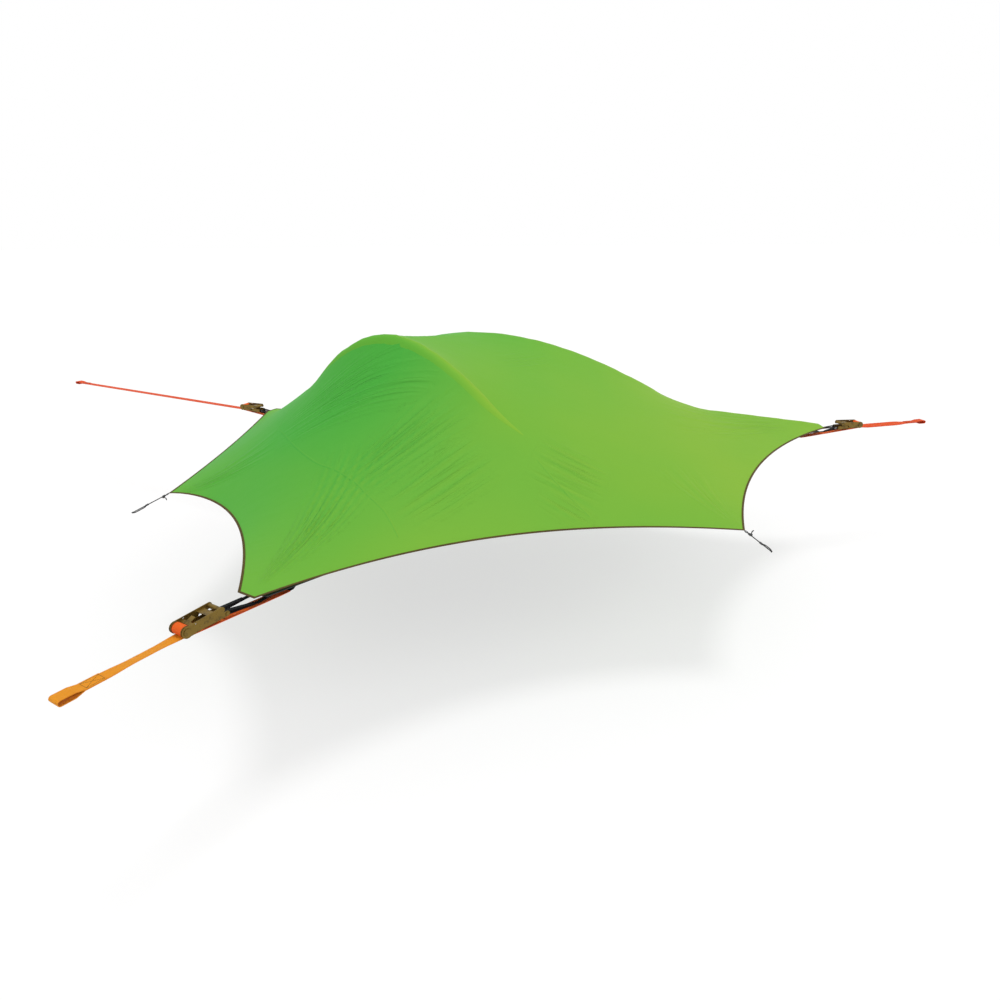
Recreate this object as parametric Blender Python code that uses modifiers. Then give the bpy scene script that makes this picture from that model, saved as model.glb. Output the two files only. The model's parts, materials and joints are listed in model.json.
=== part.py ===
"""Tree tent: a triangular tent hung between three trees by ratchets, with two arched poles and a rain fly.

Metres, +Z up. The origin is the point where the lines of the three straps meet, in the plane of the three
corners. +X runs to the right-hand corner, and the tent's plan is the same on both sides of that axis.
"""
import math

import bmesh
import bpy
import numpy as np
from mathutils import Matrix, Vector
from mathutils.geometry import delaunay_2d_cdt

# Driving dimensions of the tent
MM = 0.001
smallest_gap = 0.01 * MM                # points nearer than this are one
smooth_angle = math.radians(35)
small_sides = 12                        # of small round pieces
round_sides = 14
bearing_share = 1.036                   # a hole's corner radius to the round it clears
arm_angle = math.radians(43.4)          # left-hand arms, measured from the -X axis
floor_reach = 2.110                     # the floor's corners, measured from the origin
fly_overhang = {"front_left": 0.057, "back_left": 0.057, "right": 0.040}
ratchet_gap = 0.338                     # from the floor's corner to the spool's axis
strap_length = {"front_left": 0.352, "back_left": 2.052, "right": 0.497}
touch_gap = 0.0003                      # between pieces that touch

# Fly
fly_thickness = 0.0020
fly_tip_width = 0.087
fly_tip_height = 0.025
fly_front_sag = 0.240                   # from the left-hand corners to the side guys
fly_right_sag = 0.175
fly_left_sag = 0.185                    # from the left guy to the front tip
fly_back_sag = 0.045                    # from the back tip to the left guy
left_guy_share = 0.9872                 # of the floor's reach
left_guy_drop = 0.057
front_guy_shares = (0.3431, 0.6005)
front_guy_drop = 0.066
binding_radius = 0.0040
ridge_seam_height = 0.0503              # of the seam at the right-hand tip
sheet_spacing = 0.125                   # between the sheet's points
edge_droop_power = 1.6
left_sag_peak_share = 0.4               # where the left edge sags most, from the guy to the front tip
mitre_limit_share = 0.35
sheet_point_share = 0.6                 # of the spacing, between a sheet's points and its lines
ridge_trim_share = 0.12                 # of a pole's stations, at each low end
long_ridge_trim_share = 0.08

# Floor and its edge
floor_thickness = 0.0030
floor_sag_share = 0.040                 # of each side's length
floor_corner_width = 0.080
edge_webbing_width = 0.025
edge_webbing_thickness = 0.0028
patch_length = 0.220
patch_width = 0.150
patch_thickness = 0.0026
webbing_trim_share = 1.12               # of the patch length, left free of webbing

# Poles, each with its feet as shares of the floor's sides
pole_radius = 0.0055
front_pole_foot_share = 0.4173          # of the front side, from the left
front_pole_back_share = 0.6549          # of the left side, from the front
front_pole_height = 0.7475
front_pole_roundness = 3.5
front_pole_apex_share = 0.5616
long_pole_left_share = 0.7797           # of the left side, from the front
long_pole_right_share = 0.8175          # of the back side, from the left
long_pole_height = 0.6601
long_pole_roundness = 1.0569
long_pole_apex_share = 0.4353
seam_start_share = 0.9263               # of the long pole, where the ridge seam leaves it
pole_stations = 26
foot_radius = 0.0110
foot_height = 0.026
foot_base_radius = 0.0150
foot_base_thickness = 0.0025
foot_inset = 0.0180
foot_post_share = 0.8
fly_above_pole = 0.0060
canopy_below_pole = 0.0030

# Mesh canopy and its door
canopy_thickness = 0.0020
canopy_inset = 0.042
canopy_spacing = 0.180
door_left = 0.180
door_right = 0.920
door_lower = 0.090                      # from the canopy's rim
door_depth = 0.430
door_corner = 0.080
flap_margin = 0.030
door_corner_steps = 5

# Webbing
strap_width = 0.050
strap_thickness = 0.0024
eye_length = 0.085
eye_height = 0.022
eye_seat = 0.008
stitch_length = 0.080
eye_shoulder_share = 0.45
strap_end_angle = math.radians(-89.2)
strap_end_steps = 3

# Ratchet
frame_clearance = 0.0020
plate_thickness = 0.0025
wheel_gap = 0.0004
wheel_thickness = 0.0035
wheel_teeth = 12
wheel_tip_radius = 0.0195
wheel_root_radius = 0.0150
tooth_tip_share = 0.22                  # of the pitch, where a tooth's flat tip ends
tooth_root_share = 0.50
tooth_gap_share = 0.75
spool_radius = 0.0090
spool_slot = 0.0045
washer_share = 1.35                     # of the spool's radius
winding_radius = 0.0222
winding_turns = 3
winding_steps = 24                      # in one turn
disc_radius = 0.0225
bolt_radius = 0.0050
bolt_distance = 0.168
bolt_drop = 0.0115
frame_end_radius = 0.0110
frame_head_arc = (math.radians(-125), math.radians(140))
frame_end_arc = (math.radians(100), math.radians(260))
frame_waist_shares = ((-1.05, -0.05), (-2.2, -0.07))     # of the disc's radius
frame_web_shares = (0.80, 0.42)         # of the bolt's distance
frame_web_rise_share = 0.25
bolt_head_share = 1.6
bolt_head_sides = 6
head_steps = 10                         # of the plates' round heads
end_steps = 6
handle_length = 0.143
handle_rise = 0.016
grip_radius = 0.0095
handle_head_arc = (math.radians(-115), math.radians(100))
handle_grip_arc = (math.radians(75), math.radians(255))
handle_grip_share = 1.35                # of the grip's radius, round its end
handle_step_share = 0.60                # of the length, where the deep part ends
handle_step_run = 0.012
handle_step_rise_share = 0.20
handle_step_depth_share = 0.62
cross_plate_shares = (0.83, 0.62)       # of the handle's length
cross_plate_rise_share = 1.15
pawl_thickness = 0.0024
pawl_travel = 0.0055
pawl_depth = 0.0130
pawl_clearance = 0.0010
slot_travel_share = 1.2
tongue_width = 0.022
tongue_reach = 0.060
drive_pawl_angle = math.radians(155)
lock_pawl_angle = math.radians(195)
running_gap = 0.0004
sling_width = 0.018
sling_thickness = 0.0030
sling_bend = 0.030                      # beyond the floor's corner
sling_reach_share = 0.75                # of the patch length
sling_cross_length = 0.050
sling_cross_overlap = 0.010
tail_drop = 0.042
tail_end = 0.125                        # inwards from the floor's corner
tail_bend_run = 0.040

# Guys
guy_ring_radius = 0.0090
guy_ring_wire = 0.0022
guy_cord_radius = 0.0025
guy_cord_step = 0.012
guy_runner_radius = 0.0050
guy_runner_length = 0.018
guy_ring_seat = 0.0039                  # from the guy's point to the ring's outside
guy_runner_place_share = 0.55           # of the cord, from the ring
guy_ring_sides = 16
bore_overrun_share = 1.5
left_guy_run = (-0.211, 0.0, -0.098)    # from the fly to the cord's end
front_guy_run = (0.061, -0.152, -0.057)

# Colours: red, green, blue, then roughness and metallic
finishes = {
    "fly_fabric": ((0.150, 0.430, 0.062), 0.62, 0.0),
    "edge_tape": ((0.100, 0.130, 0.045), 0.75, 0.0),
    "mesh_fabric": ((0.030, 0.034, 0.036), 0.85, 0.0),
    "floor_fabric": ((0.075, 0.080, 0.085), 0.75, 0.0),
    "black_webbing": ((0.012, 0.012, 0.015), 0.80, 0.0),
    "orange_webbing": ((0.720, 0.120, 0.020), 0.70, 0.0),
    "plated_steel": ((0.240, 0.175, 0.045), 0.42, 0.85),
    "pole_alloy": ((0.320, 0.330, 0.340), 0.35, 0.9),
    "black_plastic": ((0.018, 0.018, 0.020), 0.45, 0.0),
    "dark_cord": ((0.035, 0.035, 0.038), 0.80, 0.0),
}

corners = {
    "front_left": math.pi + arm_angle,
    "back_left": math.pi - arm_angle,
    "right": 0.0,
}
ratchet_reach = floor_reach + ratchet_gap
fly_reach = {corner: floor_reach + overhang for corner, overhang in fly_overhang.items()}
left_guy = (-floor_reach * left_guy_share, 0.0, -left_guy_drop)
front_guy = (floor_reach * front_guy_shares[0], -floor_reach * front_guy_shares[1], -front_guy_drop)
ridge_trim = round(ridge_trim_share * pole_stations)
long_ridge_trim = round(long_ridge_trim_share * pole_stations)
strap_lift = winding_radius - strap_thickness / 2
frame_inner = strap_width / 2 + frame_clearance
frame_outer = frame_inner + plate_thickness
wheel_inner = frame_outer + wheel_gap
wheel_outer = wheel_inner + wheel_thickness
handle_inner = wheel_outer + wheel_gap
handle_outer = handle_inner + plate_thickness
bearing_radius = bearing_share * (spool_radius + touch_gap)
bolt = (-bolt_distance, -bolt_drop)
tail_level = -strap_lift - tail_drop
pawl_near = disc_radius + pawl_clearance
lock_near = winding_radius + 2 * running_gap
slot_length = pawl_depth + pawl_travel * slot_travel_share


def clear_scene():
    """Removes what the file holds, so that the script can run again."""
    for obj in list(bpy.data.objects):
        bpy.data.objects.remove(obj, do_unlink=True)


def new_collection(name):
    collection = bpy.data.collections.new(name)
    bpy.context.scene.collection.children.link(collection)
    return collection


def make_material(name):
    colour, roughness, metallic = finishes[name]
    material = bpy.data.materials.new(name)
    material.use_nodes = True
    shader = material.node_tree.nodes["Principled BSDF"]
    shader.inputs["Base Color"].default_value = (*colour, 1.0)
    shader.inputs["Roughness"].default_value = roughness
    shader.inputs["Metallic"].default_value = metallic
    material.diffuse_color = (*colour, 1.0)
    return material


clear_scene()
parts = new_collection("tree_tent")
cutters = new_collection("cutters")
materials = {name: make_material(name) for name in finishes}


def keep(obj, finish, parent=None):
    """Makes an object one of the tent's pieces."""
    for collection in list(obj.users_collection):
        collection.objects.unlink(obj)
    parts.objects.link(obj)
    obj.data.materials.clear()
    obj.data.materials.append(materials[finish])
    if parent is not None:
        obj.parent = parent
    return obj


def hide(obj, parent=None):
    """Makes an object a shape that others are cut with or joined to."""
    for collection in list(obj.users_collection):
        collection.objects.unlink(obj)
    cutters.objects.link(obj)
    obj.hide_render = True
    obj.display_type = "WIRE"
    if parent is not None:
        obj.parent = parent
    return obj


def link_mesh(name, mesh_builder):
    """A new object whose mesh the bmesh holds."""
    mesh = bpy.data.meshes.new(name)
    mesh_builder.to_mesh(mesh)
    mesh_builder.free()
    obj = bpy.data.objects.new(name, mesh)
    bpy.context.scene.collection.objects.link(obj)
    return obj


def box(name, low, high):
    """A box between two corners."""
    low, high = Vector(low), Vector(high)
    builder = bmesh.new()
    size = Matrix.Diagonal((*(high - low), 1.0))
    bmesh.ops.create_cube(builder, size=1.0, matrix=Matrix.Translation((low + high) / 2) @ size)
    return link_mesh(name, builder)


def rod(name, radius, start, end, sides=24):
    """A round bar between two points."""
    start, end = Vector(start), Vector(end)
    run = end - start
    turn = Vector((0, 0, 1)).rotation_difference(run).to_matrix().to_4x4()
    builder = bmesh.new()
    bmesh.ops.create_cone(
        builder,
        cap_ends=True,
        segments=sides,
        radius1=radius,
        radius2=radius,
        depth=run.length,
        matrix=Matrix.Translation((start + end) / 2) @ turn,
    )
    return link_mesh(name, builder)


def curve_to_mesh(obj):
    """The mesh of a curve object, with its loose caps welded."""
    graph = bpy.context.evaluated_depsgraph_get()
    mesh = bpy.data.meshes.new_from_object(obj.evaluated_get(graph))
    builder = bmesh.new()
    builder.from_mesh(mesh)
    bmesh.ops.remove_doubles(builder, verts=builder.verts, dist=smallest_gap)
    builder.to_mesh(mesh)
    builder.free()
    solid = bpy.data.objects.new(obj.name + "_mesh", mesh)
    solid.matrix_world = obj.matrix_world
    name = obj.name
    bpy.data.objects.remove(obj)
    bpy.context.scene.collection.objects.link(solid)
    solid.name = name
    return solid


def filled_outline(name, outlines, thickness):
    """A flat plate whose outline, then its holes, lie in XY."""
    curve = bpy.data.curves.new(name, "CURVE")
    curve.dimensions = "2D"
    curve.fill_mode = "BOTH"
    curve.extrude = thickness / 2
    for outline in outlines:
        spline = curve.splines.new("POLY")
        spline.points.add(len(outline) - 1)
        for point, (x, y) in zip(spline.points, outline):
            point.co = (x, y, 0.0, 1.0)
        spline.use_cyclic_u = True
    obj = bpy.data.objects.new(name, curve)
    bpy.context.scene.collection.objects.link(obj)
    bpy.context.view_layer.update()
    return curve_to_mesh(obj)


def flat_plate(name, outlines, low, high):
    """A level plate between two heights."""
    plate = filled_outline(name, outlines, high - low)
    plate.data.transform(Matrix.Translation((0, 0, (low + high) / 2)))
    return plate


def upright_plate(name, outlines, low, high):
    """A plate whose outlines lie in XZ, between two places along Y."""
    plate = filled_outline(name, outlines, high - low)
    plate.data.transform(Matrix.Translation((0, (low + high) / 2, 0)) @ Matrix.Rotation(math.pi / 2, 4, "X"))
    return plate


def tube(name, points, radius, resolution=2, closed=False):
    """A round tube along a line of points."""
    curve = bpy.data.curves.new(name, "CURVE")
    curve.dimensions = "3D"
    curve.bevel_depth = radius
    curve.bevel_resolution = resolution
    curve.use_fill_caps = True
    curve.render_resolution_u = 0
    spline = curve.splines.new("POLY")
    spline.points.add(len(points) - 1)
    for point, place in zip(spline.points, points):
        point.co = (*place, 1.0)
    spline.use_cyclic_u = closed
    obj = bpy.data.objects.new(name, curve)
    bpy.context.scene.collection.objects.link(obj)
    bpy.context.view_layer.update()
    return obj


def smooth(obj):
    """Smooth shading with its corners kept."""
    obj.data.shade_smooth()
    obj.data.set_sharp_from_angle(angle=smooth_angle)
    return obj


def boolean(obj, tool, operation, parent=None):
    """Adds a Boolean modifier and puts its tool away."""
    modifier = obj.modifiers.new(operation.lower(), "BOOLEAN")
    modifier.operation = operation
    modifier.object = tool
    hide(tool, parent)
    return obj


def joined(base, others):
    for other in others:
        boolean(base, other, "UNION", base.parent)
    return base


def arc(centre, radius, start, end, steps):
    """Points of an arc, its angles in radians."""
    return [
        (centre[0] + radius * math.cos(start + (end - start) * i / steps),
         centre[1] + radius * math.sin(start + (end - start) * i / steps))
        for i in range(steps + 1)
    ]


def circle(centre, radius, steps):
    return arc(centre, radius, 0, 2 * math.pi * (steps - 1) / steps, steps - 1)


def ribbon_outline(path, thickness):
    """The closed outline of a strip of webbing seen from its edge."""
    left, right = [], []
    for i, (x, z) in enumerate(path):
        before = path[max(i - 1, 0)]
        after = path[min(i + 1, len(path) - 1)]
        run = Vector((after[0] - before[0], after[1] - before[1])).normalized()
        offset = Vector((-run.y, run.x)) * thickness / 2
        left.append((x + offset.x, z + offset.y))
        right.append((x - offset.x, z - offset.y))
    return left + right[::-1]


def arm(corner, distance, across=0.0, height=0.0):
    """A point along a corner's arm, in world coordinates."""
    angle = corners[corner]
    x = distance * math.cos(angle) - across * math.sin(angle)
    y = distance * math.sin(angle) + across * math.cos(angle)
    return Vector((x, y, height))


# Plan of the floor and the fly
def sagging_edge(start, end, sag, steps, peak_share=0.5):
    """Points from the start up to the end, bowed to the left of that line."""
    start, end = Vector(start), Vector(end)
    run = end - start
    side = Vector((-run.y, run.x, 0)).normalized()
    power = math.log(0.5) / math.log(peak_share)
    points = []
    for i in range(steps):
        share = i / steps
        bow = share ** power
        points.append(start + run * share + side * sag * 4 * bow * (1 - bow))
    return points


def mirrored(point):
    return (point[0], -point[1], point[2])


def fly_corner(corner):
    reach = fly_reach[corner]
    return (arm(corner, reach, -fly_tip_width / 2, fly_tip_height),
            arm(corner, reach, fly_tip_width / 2, fly_tip_height))


def fly_edge(start, end, sag, spacing, peak_share=0.5, guy_last=True):
    """One of the fly's sagging edges, which droops towards its guy."""
    start, end = Vector(start), Vector(end)
    steps = max(4, round((end - start).length / spacing))
    points = sagging_edge(start, end, sag, steps, peak_share)
    for i, point in enumerate(points):
        share = i / steps
        if guy_last:
            point.z = start.z + (end.z - start.z) * share ** edge_droop_power
        else:
            point.z = end.z + (start.z - end.z) * (1 - share) ** edge_droop_power
    return points


def fly_outline(spacing):
    """The fly's edge, anticlockwise from the front left tip."""
    front, right, back = (fly_corner(name) for name in ("front_left", "right", "back_left"))
    back_guy = mirrored(front_guy)
    points = [front[0]]
    points += fly_edge(front[1], front_guy, fly_front_sag, spacing)
    points += fly_edge(front_guy, right[0], fly_right_sag, spacing, guy_last=False)
    points += [right[0]]
    points += fly_edge(right[1], back_guy, fly_right_sag, spacing)
    points += fly_edge(back_guy, back[0], fly_front_sag, spacing, guy_last=False)
    points += [back[0]]
    points += fly_edge(back[1], left_guy, fly_back_sag, spacing)
    points += fly_edge(left_guy, front[0], fly_left_sag, spacing, left_sag_peak_share, guy_last=False)
    return points


def inset(points, distance):
    """The closed line of points moved inwards in plan, its corners mitred."""
    moved = []
    for i, point in enumerate(points):
        before = (point - points[i - 1]).to_2d().normalized()
        after = (points[(i + 1) % len(points)] - point).to_2d().normalized()
        normal = (Vector((-before.y, before.x)) + Vector((-after.y, after.x))).normalized()
        slant = max(mitre_limit_share, normal.dot(Vector((-before.y, before.x))))
        moved.append(point + (normal * distance / slant).to_3d())
    return moved


def floor_corner(corner):
    half = floor_corner_width / 2
    return (arm(corner, floor_reach, -half), arm(corner, floor_reach, half))


def floor_side(side):
    """The ends of one side of the floor."""
    order = {
        "front": ("front_left", "right"),
        "back": ("right", "back_left"),
        "left": ("back_left", "front_left"),
    }
    first, last = order[side]
    return floor_corner(first)[1], floor_corner(last)[0]


def floor_edge(side, spacing):
    start, end = floor_side(side)
    length = (end - start).length
    return sagging_edge(start, end, floor_sag_share * length, max(4, round(length / spacing))) + [end]


def floor_outline(spacing):
    points = []
    for side in ("front", "back", "left"):
        points += floor_edge(side, spacing)
    return points


def place_on_side(side, share, inward):
    """A point of a floor side, moved inwards, at the floor's top."""
    start, end = floor_side(side)
    run = end - start
    normal = Vector((-run.y, run.x, 0)).normalized()
    sag = floor_sag_share * run.length * 4 * share * (1 - share)
    return start + run * share + normal * (sag + inward)


def arch(start, end, height, roundness, apex_share):
    """Centre points of a pole that stands in one upright plane; a low roundness gives straighter legs."""
    start, end = Vector(start), Vector(end)
    power = math.log(0.5) / math.log(apex_share)
    crown = math.sqrt(1 + roundness ** 2)
    points = []
    for i in range(pole_stations + 1):
        share = i / pole_stations
        side = 2 * share ** power - 1
        rise = (crown - math.sqrt(side ** 2 + roundness ** 2)) / (crown - roundness)
        point = start + (end - start) * share
        point.z = start.z + height * rise
        points.append(point)
    return points


def lifted(points, distance):
    """The points of an arch moved outwards in its own plane."""
    moved = []
    for i, point in enumerate(points):
        run = (points[min(i + 1, len(points) - 1)] - points[max(i - 1, 0)]).normalized()
        level = Vector((run.x, run.y, 0))
        outward = Vector((0, 0, 1)) * level.length - level.normalized() * run.z
        moved.append(point + outward * distance)
    return moved


def is_inside(x, y, polygon):
    """Whether a point of the plan lies in the polygon."""
    inside = False
    for i, point in enumerate(polygon):
        last = polygon[i - 1]
        if (point.y > y) != (last.y > y):
            crossing = (last.x - point.x) * (y - point.y) / (last.y - point.y) + point.x
            inside ^= x < crossing
    return inside


def stretched_sheet(name, outline, ridges, spacing):
    """A taut sheet fixed along its outline and propped by the ridges where they stand above it."""
    places = [Vector(p) for p in outline]
    count = len(places)
    edges = [(i, (i + 1) % count) for i in range(count)]
    for ridge in ridges:
        first = len(places)
        places += [Vector(p) for p in ridge]
        edges += [(first + i, first + i + 1) for i in range(len(ridge) - 1)]
    propped = len(places)
    taken = np.array([(p.x, p.y) for p in places])
    row_step = spacing * math.sqrt(3) / 2
    low, high = taken.min(axis=0), taken.max(axis=0)
    for row in range(int((high[1] - low[1]) / row_step) + 1):
        y = low[1] + row * row_step
        for column in range(int((high[0] - low[0]) / spacing) + 1):
            x = low[0] + (column + 0.5 * (row % 2)) * spacing
            near = np.hypot(taken[:, 0] - x, taken[:, 1] - y).min()
            if near > sheet_point_share * spacing and is_inside(x, y, places[:count]):
                places.append(Vector((x, y, 0)))
    flat = [p.to_2d() for p in places]
    plan, _, faces, origins, _, _ = delaunay_2d_cdt(flat, edges, [list(range(count))], 1, smallest_gap)
    heights = np.zeros(len(plan))
    fixed = np.zeros(len(plan), dtype=bool)
    prop = np.zeros(len(plan), dtype=bool)
    for i, sources in enumerate(origins):
        for source in sources:
            if source < count:
                heights[i] = places[source].z
                fixed[i] = True
            elif source < propped and not fixed[i]:
                heights[i] = places[source].z
                prop[i] = True
    heights = settle(np.array([tuple(p) for p in plan]), faces, heights, fixed, prop)
    builder = bmesh.new()
    verts = [builder.verts.new((p.x, p.y, z)) for p, z in zip(plan, heights)]
    for face in faces:
        builder.faces.new([verts[i] for i in face])
    bmesh.ops.recalc_face_normals(builder, faces=builder.faces)
    return link_mesh(name, builder)


def settle(plan, faces, heights, fixed, prop):
    """Heights of a sheet in even tension, with each prop used only where it pushes up."""
    pull = np.zeros((len(plan), len(plan)))
    for face in faces:
        for k in range(3):
            i, j, far = face[k], face[(k + 1) % 3], face[(k + 2) % 3]
            first, second = plan[i] - plan[far], plan[j] - plan[far]
            weight = first @ second / abs(first[0] * second[1] - first[1] * second[0]) / 2
            pull[i, j] += weight
            pull[j, i] += weight
    stiffness = np.diag(pull.sum(axis=1)) - pull
    used = prop.copy()
    for _ in range(12):
        known = fixed | used
        free = ~known
        result = heights.copy()
        load = stiffness[np.ix_(free, known)] @ heights[known]
        result[free] = np.linalg.solve(stiffness[np.ix_(free, free)], -load)
        force = stiffness @ result
        slack = used & (force < 0)
        sunk = prop & ~used & (result < heights)
        if not slack.any() and not sunk.any():
            break
        used = (used & ~slack) | sunk
    return result


def shell(sheet, thickness):
    """Gives an open sheet its thickness, half on each side."""
    modifier = sheet.modifiers.new("thickness", "SOLIDIFY")
    modifier.thickness = thickness
    modifier.offset = 0.0
    modifier.use_even_offset = True
    modifier.thickness_clamp = 0.0
    return sheet


floor_top = floor_thickness / 2
foot_seat = floor_top + touch_gap + foot_base_thickness + foot_radius
front_pole_line = arch(
    place_on_side("front", front_pole_foot_share, foot_inset) + Vector((0, 0, foot_seat)),
    place_on_side("left", 1 - front_pole_back_share, foot_inset) + Vector((0, 0, foot_seat)),
    front_pole_height,
    front_pole_roundness,
    front_pole_apex_share,
)
long_pole_line = arch(
    place_on_side("left", 1 - long_pole_left_share, foot_inset) + Vector((0, 0, foot_seat)),
    place_on_side("back", 1 - long_pole_right_share, foot_inset) + Vector((0, 0, foot_seat)),
    long_pole_height,
    long_pole_roundness,
    long_pole_apex_share,
)


def seam_line(ridge):
    """The fly's taut seam from the long pole to the right-hand tip, without its first end."""
    start = ridge[round(seam_start_share * pole_stations)]
    end = Vector((fly_reach["right"] - binding_radius * 6, 0, ridge_seam_height))
    steps = max(3, round((end - start).length / sheet_spacing))
    return [start + (end - start) * i / steps for i in range(1, steps)] + [end]


def make_fly():
    """The rain fly and the tape round its edge."""
    outline = fly_outline(sheet_spacing)
    above = pole_radius + fly_above_pole
    front_ridge = lifted(front_pole_line, above)[ridge_trim:-ridge_trim]
    long_ridge = lifted(long_pole_line, above)
    seam = seam_line(long_ridge)
    last = round(seam_start_share * pole_stations)
    edge = inset(outline, binding_radius + touch_gap + fly_thickness / 2)
    ridges = [front_ridge, long_ridge[long_ridge_trim:last] + seam]
    sheet = stretched_sheet("fly", edge, ridges, sheet_spacing)
    keep(shell(sheet, fly_thickness), "fly_fabric")
    keep(tube("fly_edge_binding", outline, binding_radius, 1, closed=True), "edge_tape")


def make_canopy():
    """The mesh roof of the inner tent, hung below the poles, with its door open and let down on the floor."""
    rim_height = floor_top + touch_gap + canopy_thickness / 2
    rim = [p + Vector((0, 0, rim_height)) for p in inset(floor_outline(canopy_spacing), canopy_inset)]
    below = -(pole_radius + canopy_below_pole)
    ridges = [lifted(line, below)[ridge_trim:-ridge_trim] for line in (front_pole_line, long_pole_line)]
    sheet = stretched_sheet("mesh_canopy", rim, ridges, canopy_spacing)
    shell(sheet, canopy_thickness)
    start, end = floor_side("front")
    middle = (door_left + door_right) / 2
    share = (middle - start.x) / (end.x - start.x)
    sill = place_on_side("front", share, canopy_inset)
    along = (end - start).normalized()
    inward = Vector((-along.y, along.x, 0))
    width = door_right - door_left
    cutter = flat_plate("door_cutter", [door_outline(width, door_depth, door_corner)], 0, fly_reach["right"])
    turn = Matrix(((along.x, inward.x, 0, 0), (along.y, inward.y, 0, 0), (0, 0, 1, 0), (0, 0, 0, 1)))
    cutter.data.transform(Matrix.Translation(sill + inward * door_lower) @ turn)
    keep(boolean(sheet, cutter, "DIFFERENCE"), "mesh_fabric")
    flap_low = floor_top + touch_gap
    outline = [door_outline(width - 2 * flap_margin, door_depth, door_corner)]
    flap = flat_plate("door_flap", outline, flap_low, flap_low + canopy_thickness)
    flap.data.transform(Matrix.Translation(sill + inward * flap_margin) @ turn)
    keep(flap, "mesh_fabric")


def door_outline(width, depth, corner):
    """A door's outline: a straight sill and two round upper corners."""
    half = width / 2
    right = arc((half - corner, depth - corner), corner, 0, math.pi / 2, door_corner_steps)
    left = arc((corner - half, depth - corner), corner, math.pi / 2, math.pi, door_corner_steps)
    return [(-half, 0), (half, 0)] + right + left


def make_floor():
    """The floor sheet with the webbing under its edges and the corner patches."""
    outline = [(p.x, p.y) for p in floor_outline(canopy_spacing)]
    keep(flat_plate("floor", [outline], -floor_top, floor_top), "floor_fabric")
    top = -floor_top - touch_gap
    patch_reach = floor_reach - patch_length
    for side in ("front", "back", "left"):
        line = floor_edge(side, canopy_spacing)
        start, end = floor_side(side)
        run = (end - start).normalized()
        normal = Vector((-run.y, run.x, 0))
        trim = patch_length * webbing_trim_share
        line = [p for p in line if trim < (p - start).dot(run) < (end - start).dot(run) - trim]
        inner = [p + normal * edge_webbing_width for p in line]
        outline = [(p.x, p.y) for p in line + inner[::-1]]
        strip = flat_plate(f"{side}_edge_webbing", [outline], top - edge_webbing_thickness, top)
        keep(strip, "black_webbing")
    for corner in corners:
        half_tip = floor_corner_width / 2
        half_base = patch_width / 2
        places = [(floor_reach, -half_tip), (floor_reach, half_tip)]
        places += [(patch_reach, half_base), (patch_reach, -half_base)]
        outline = [tuple(arm(corner, s, across).to_2d()) for s, across in places]
        keep(flat_plate(f"{corner}_floor_patch", [outline], top - patch_thickness, top), "black_webbing")


def make_pole(name, line):
    """One arched pole and the two sockets its ends stand in."""
    keep(tube(name, line, pole_radius, 2), "pole_alloy")
    for end, (foot, second) in {"left": (line[0], line[1]), "right": (line[-1], line[-2])}.items():
        up = (second - foot).normalized()
        seat = Vector((foot.x, foot.y, floor_top + touch_gap))
        base_top = seat + Vector((0, 0, foot_base_thickness))
        base = rod(f"{name}_{end}_foot", foot_base_radius, seat, base_top, round_sides)
        inside_base = (seat + base_top) / 2
        post = rod("post", foot_radius * foot_post_share, inside_base, foot, small_sides)
        cup = rod("cup", foot_radius, foot - up * foot_base_thickness, foot + up * foot_height, small_sides)
        bore_radius = bearing_share * (pole_radius + touch_gap)
        bore = rod("bore", bore_radius, foot - up * touch_gap, foot + up * foot_height * 2, small_sides)
        boolean(joined(base, [post, cup]), bore, "DIFFERENCE")
        keep(base, "black_plastic")


# Ratchets, each in its own frame: +X runs outwards along the strap, and the spool axis is at the origin
def toothed_outline():
    """A ratchet wheel's outline, with a gap between two teeth at the lock pawl."""
    tooth = (
        (0, wheel_root_radius),
        (0, wheel_tip_radius),
        (tooth_tip_share, wheel_tip_radius),
        (tooth_root_share, wheel_root_radius),
    )
    pitch = 2 * math.pi / wheel_teeth
    points = []
    for i in range(wheel_teeth):
        for share, radius in tooth:
            angle = lock_pawl_angle + (i + share - tooth_gap_share) * pitch
            points.append((radius * math.cos(angle), radius * math.sin(angle)))
    return points


def make_spool(corner, parent):
    """The slotted spool with its two toothed wheels and end washers."""
    end = handle_outer + running_gap + plate_thickness / 2
    spool = rod(f"{corner}_ratchet_spool", spool_radius, (0, -end, 0), (0, end, 0), round_sides)
    spool.parent = parent
    tools = []
    for side in (-1, 1):
        low, high = sorted((side * wheel_inner, side * wheel_outer))
        tools.append(upright_plate("wheel", [toothed_outline()], low, high))
        washer_start = side * (handle_outer + running_gap)
        washer_radius = spool_radius * washer_share
        tools.append(rod("washer", washer_radius, (0, washer_start, 0), (0, side * end, 0), small_sides))
    joined(spool, tools)
    half_slot = spool_slot / 2
    half_width = strap_width / 2 + touch_gap
    reach = spool_radius * 2
    slot = box("slot", (-reach, -half_width, -half_slot), (reach, half_width, half_slot))
    boolean(spool, slot, "DIFFERENCE", parent)
    keep(spool, "plated_steel", parent)


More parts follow.
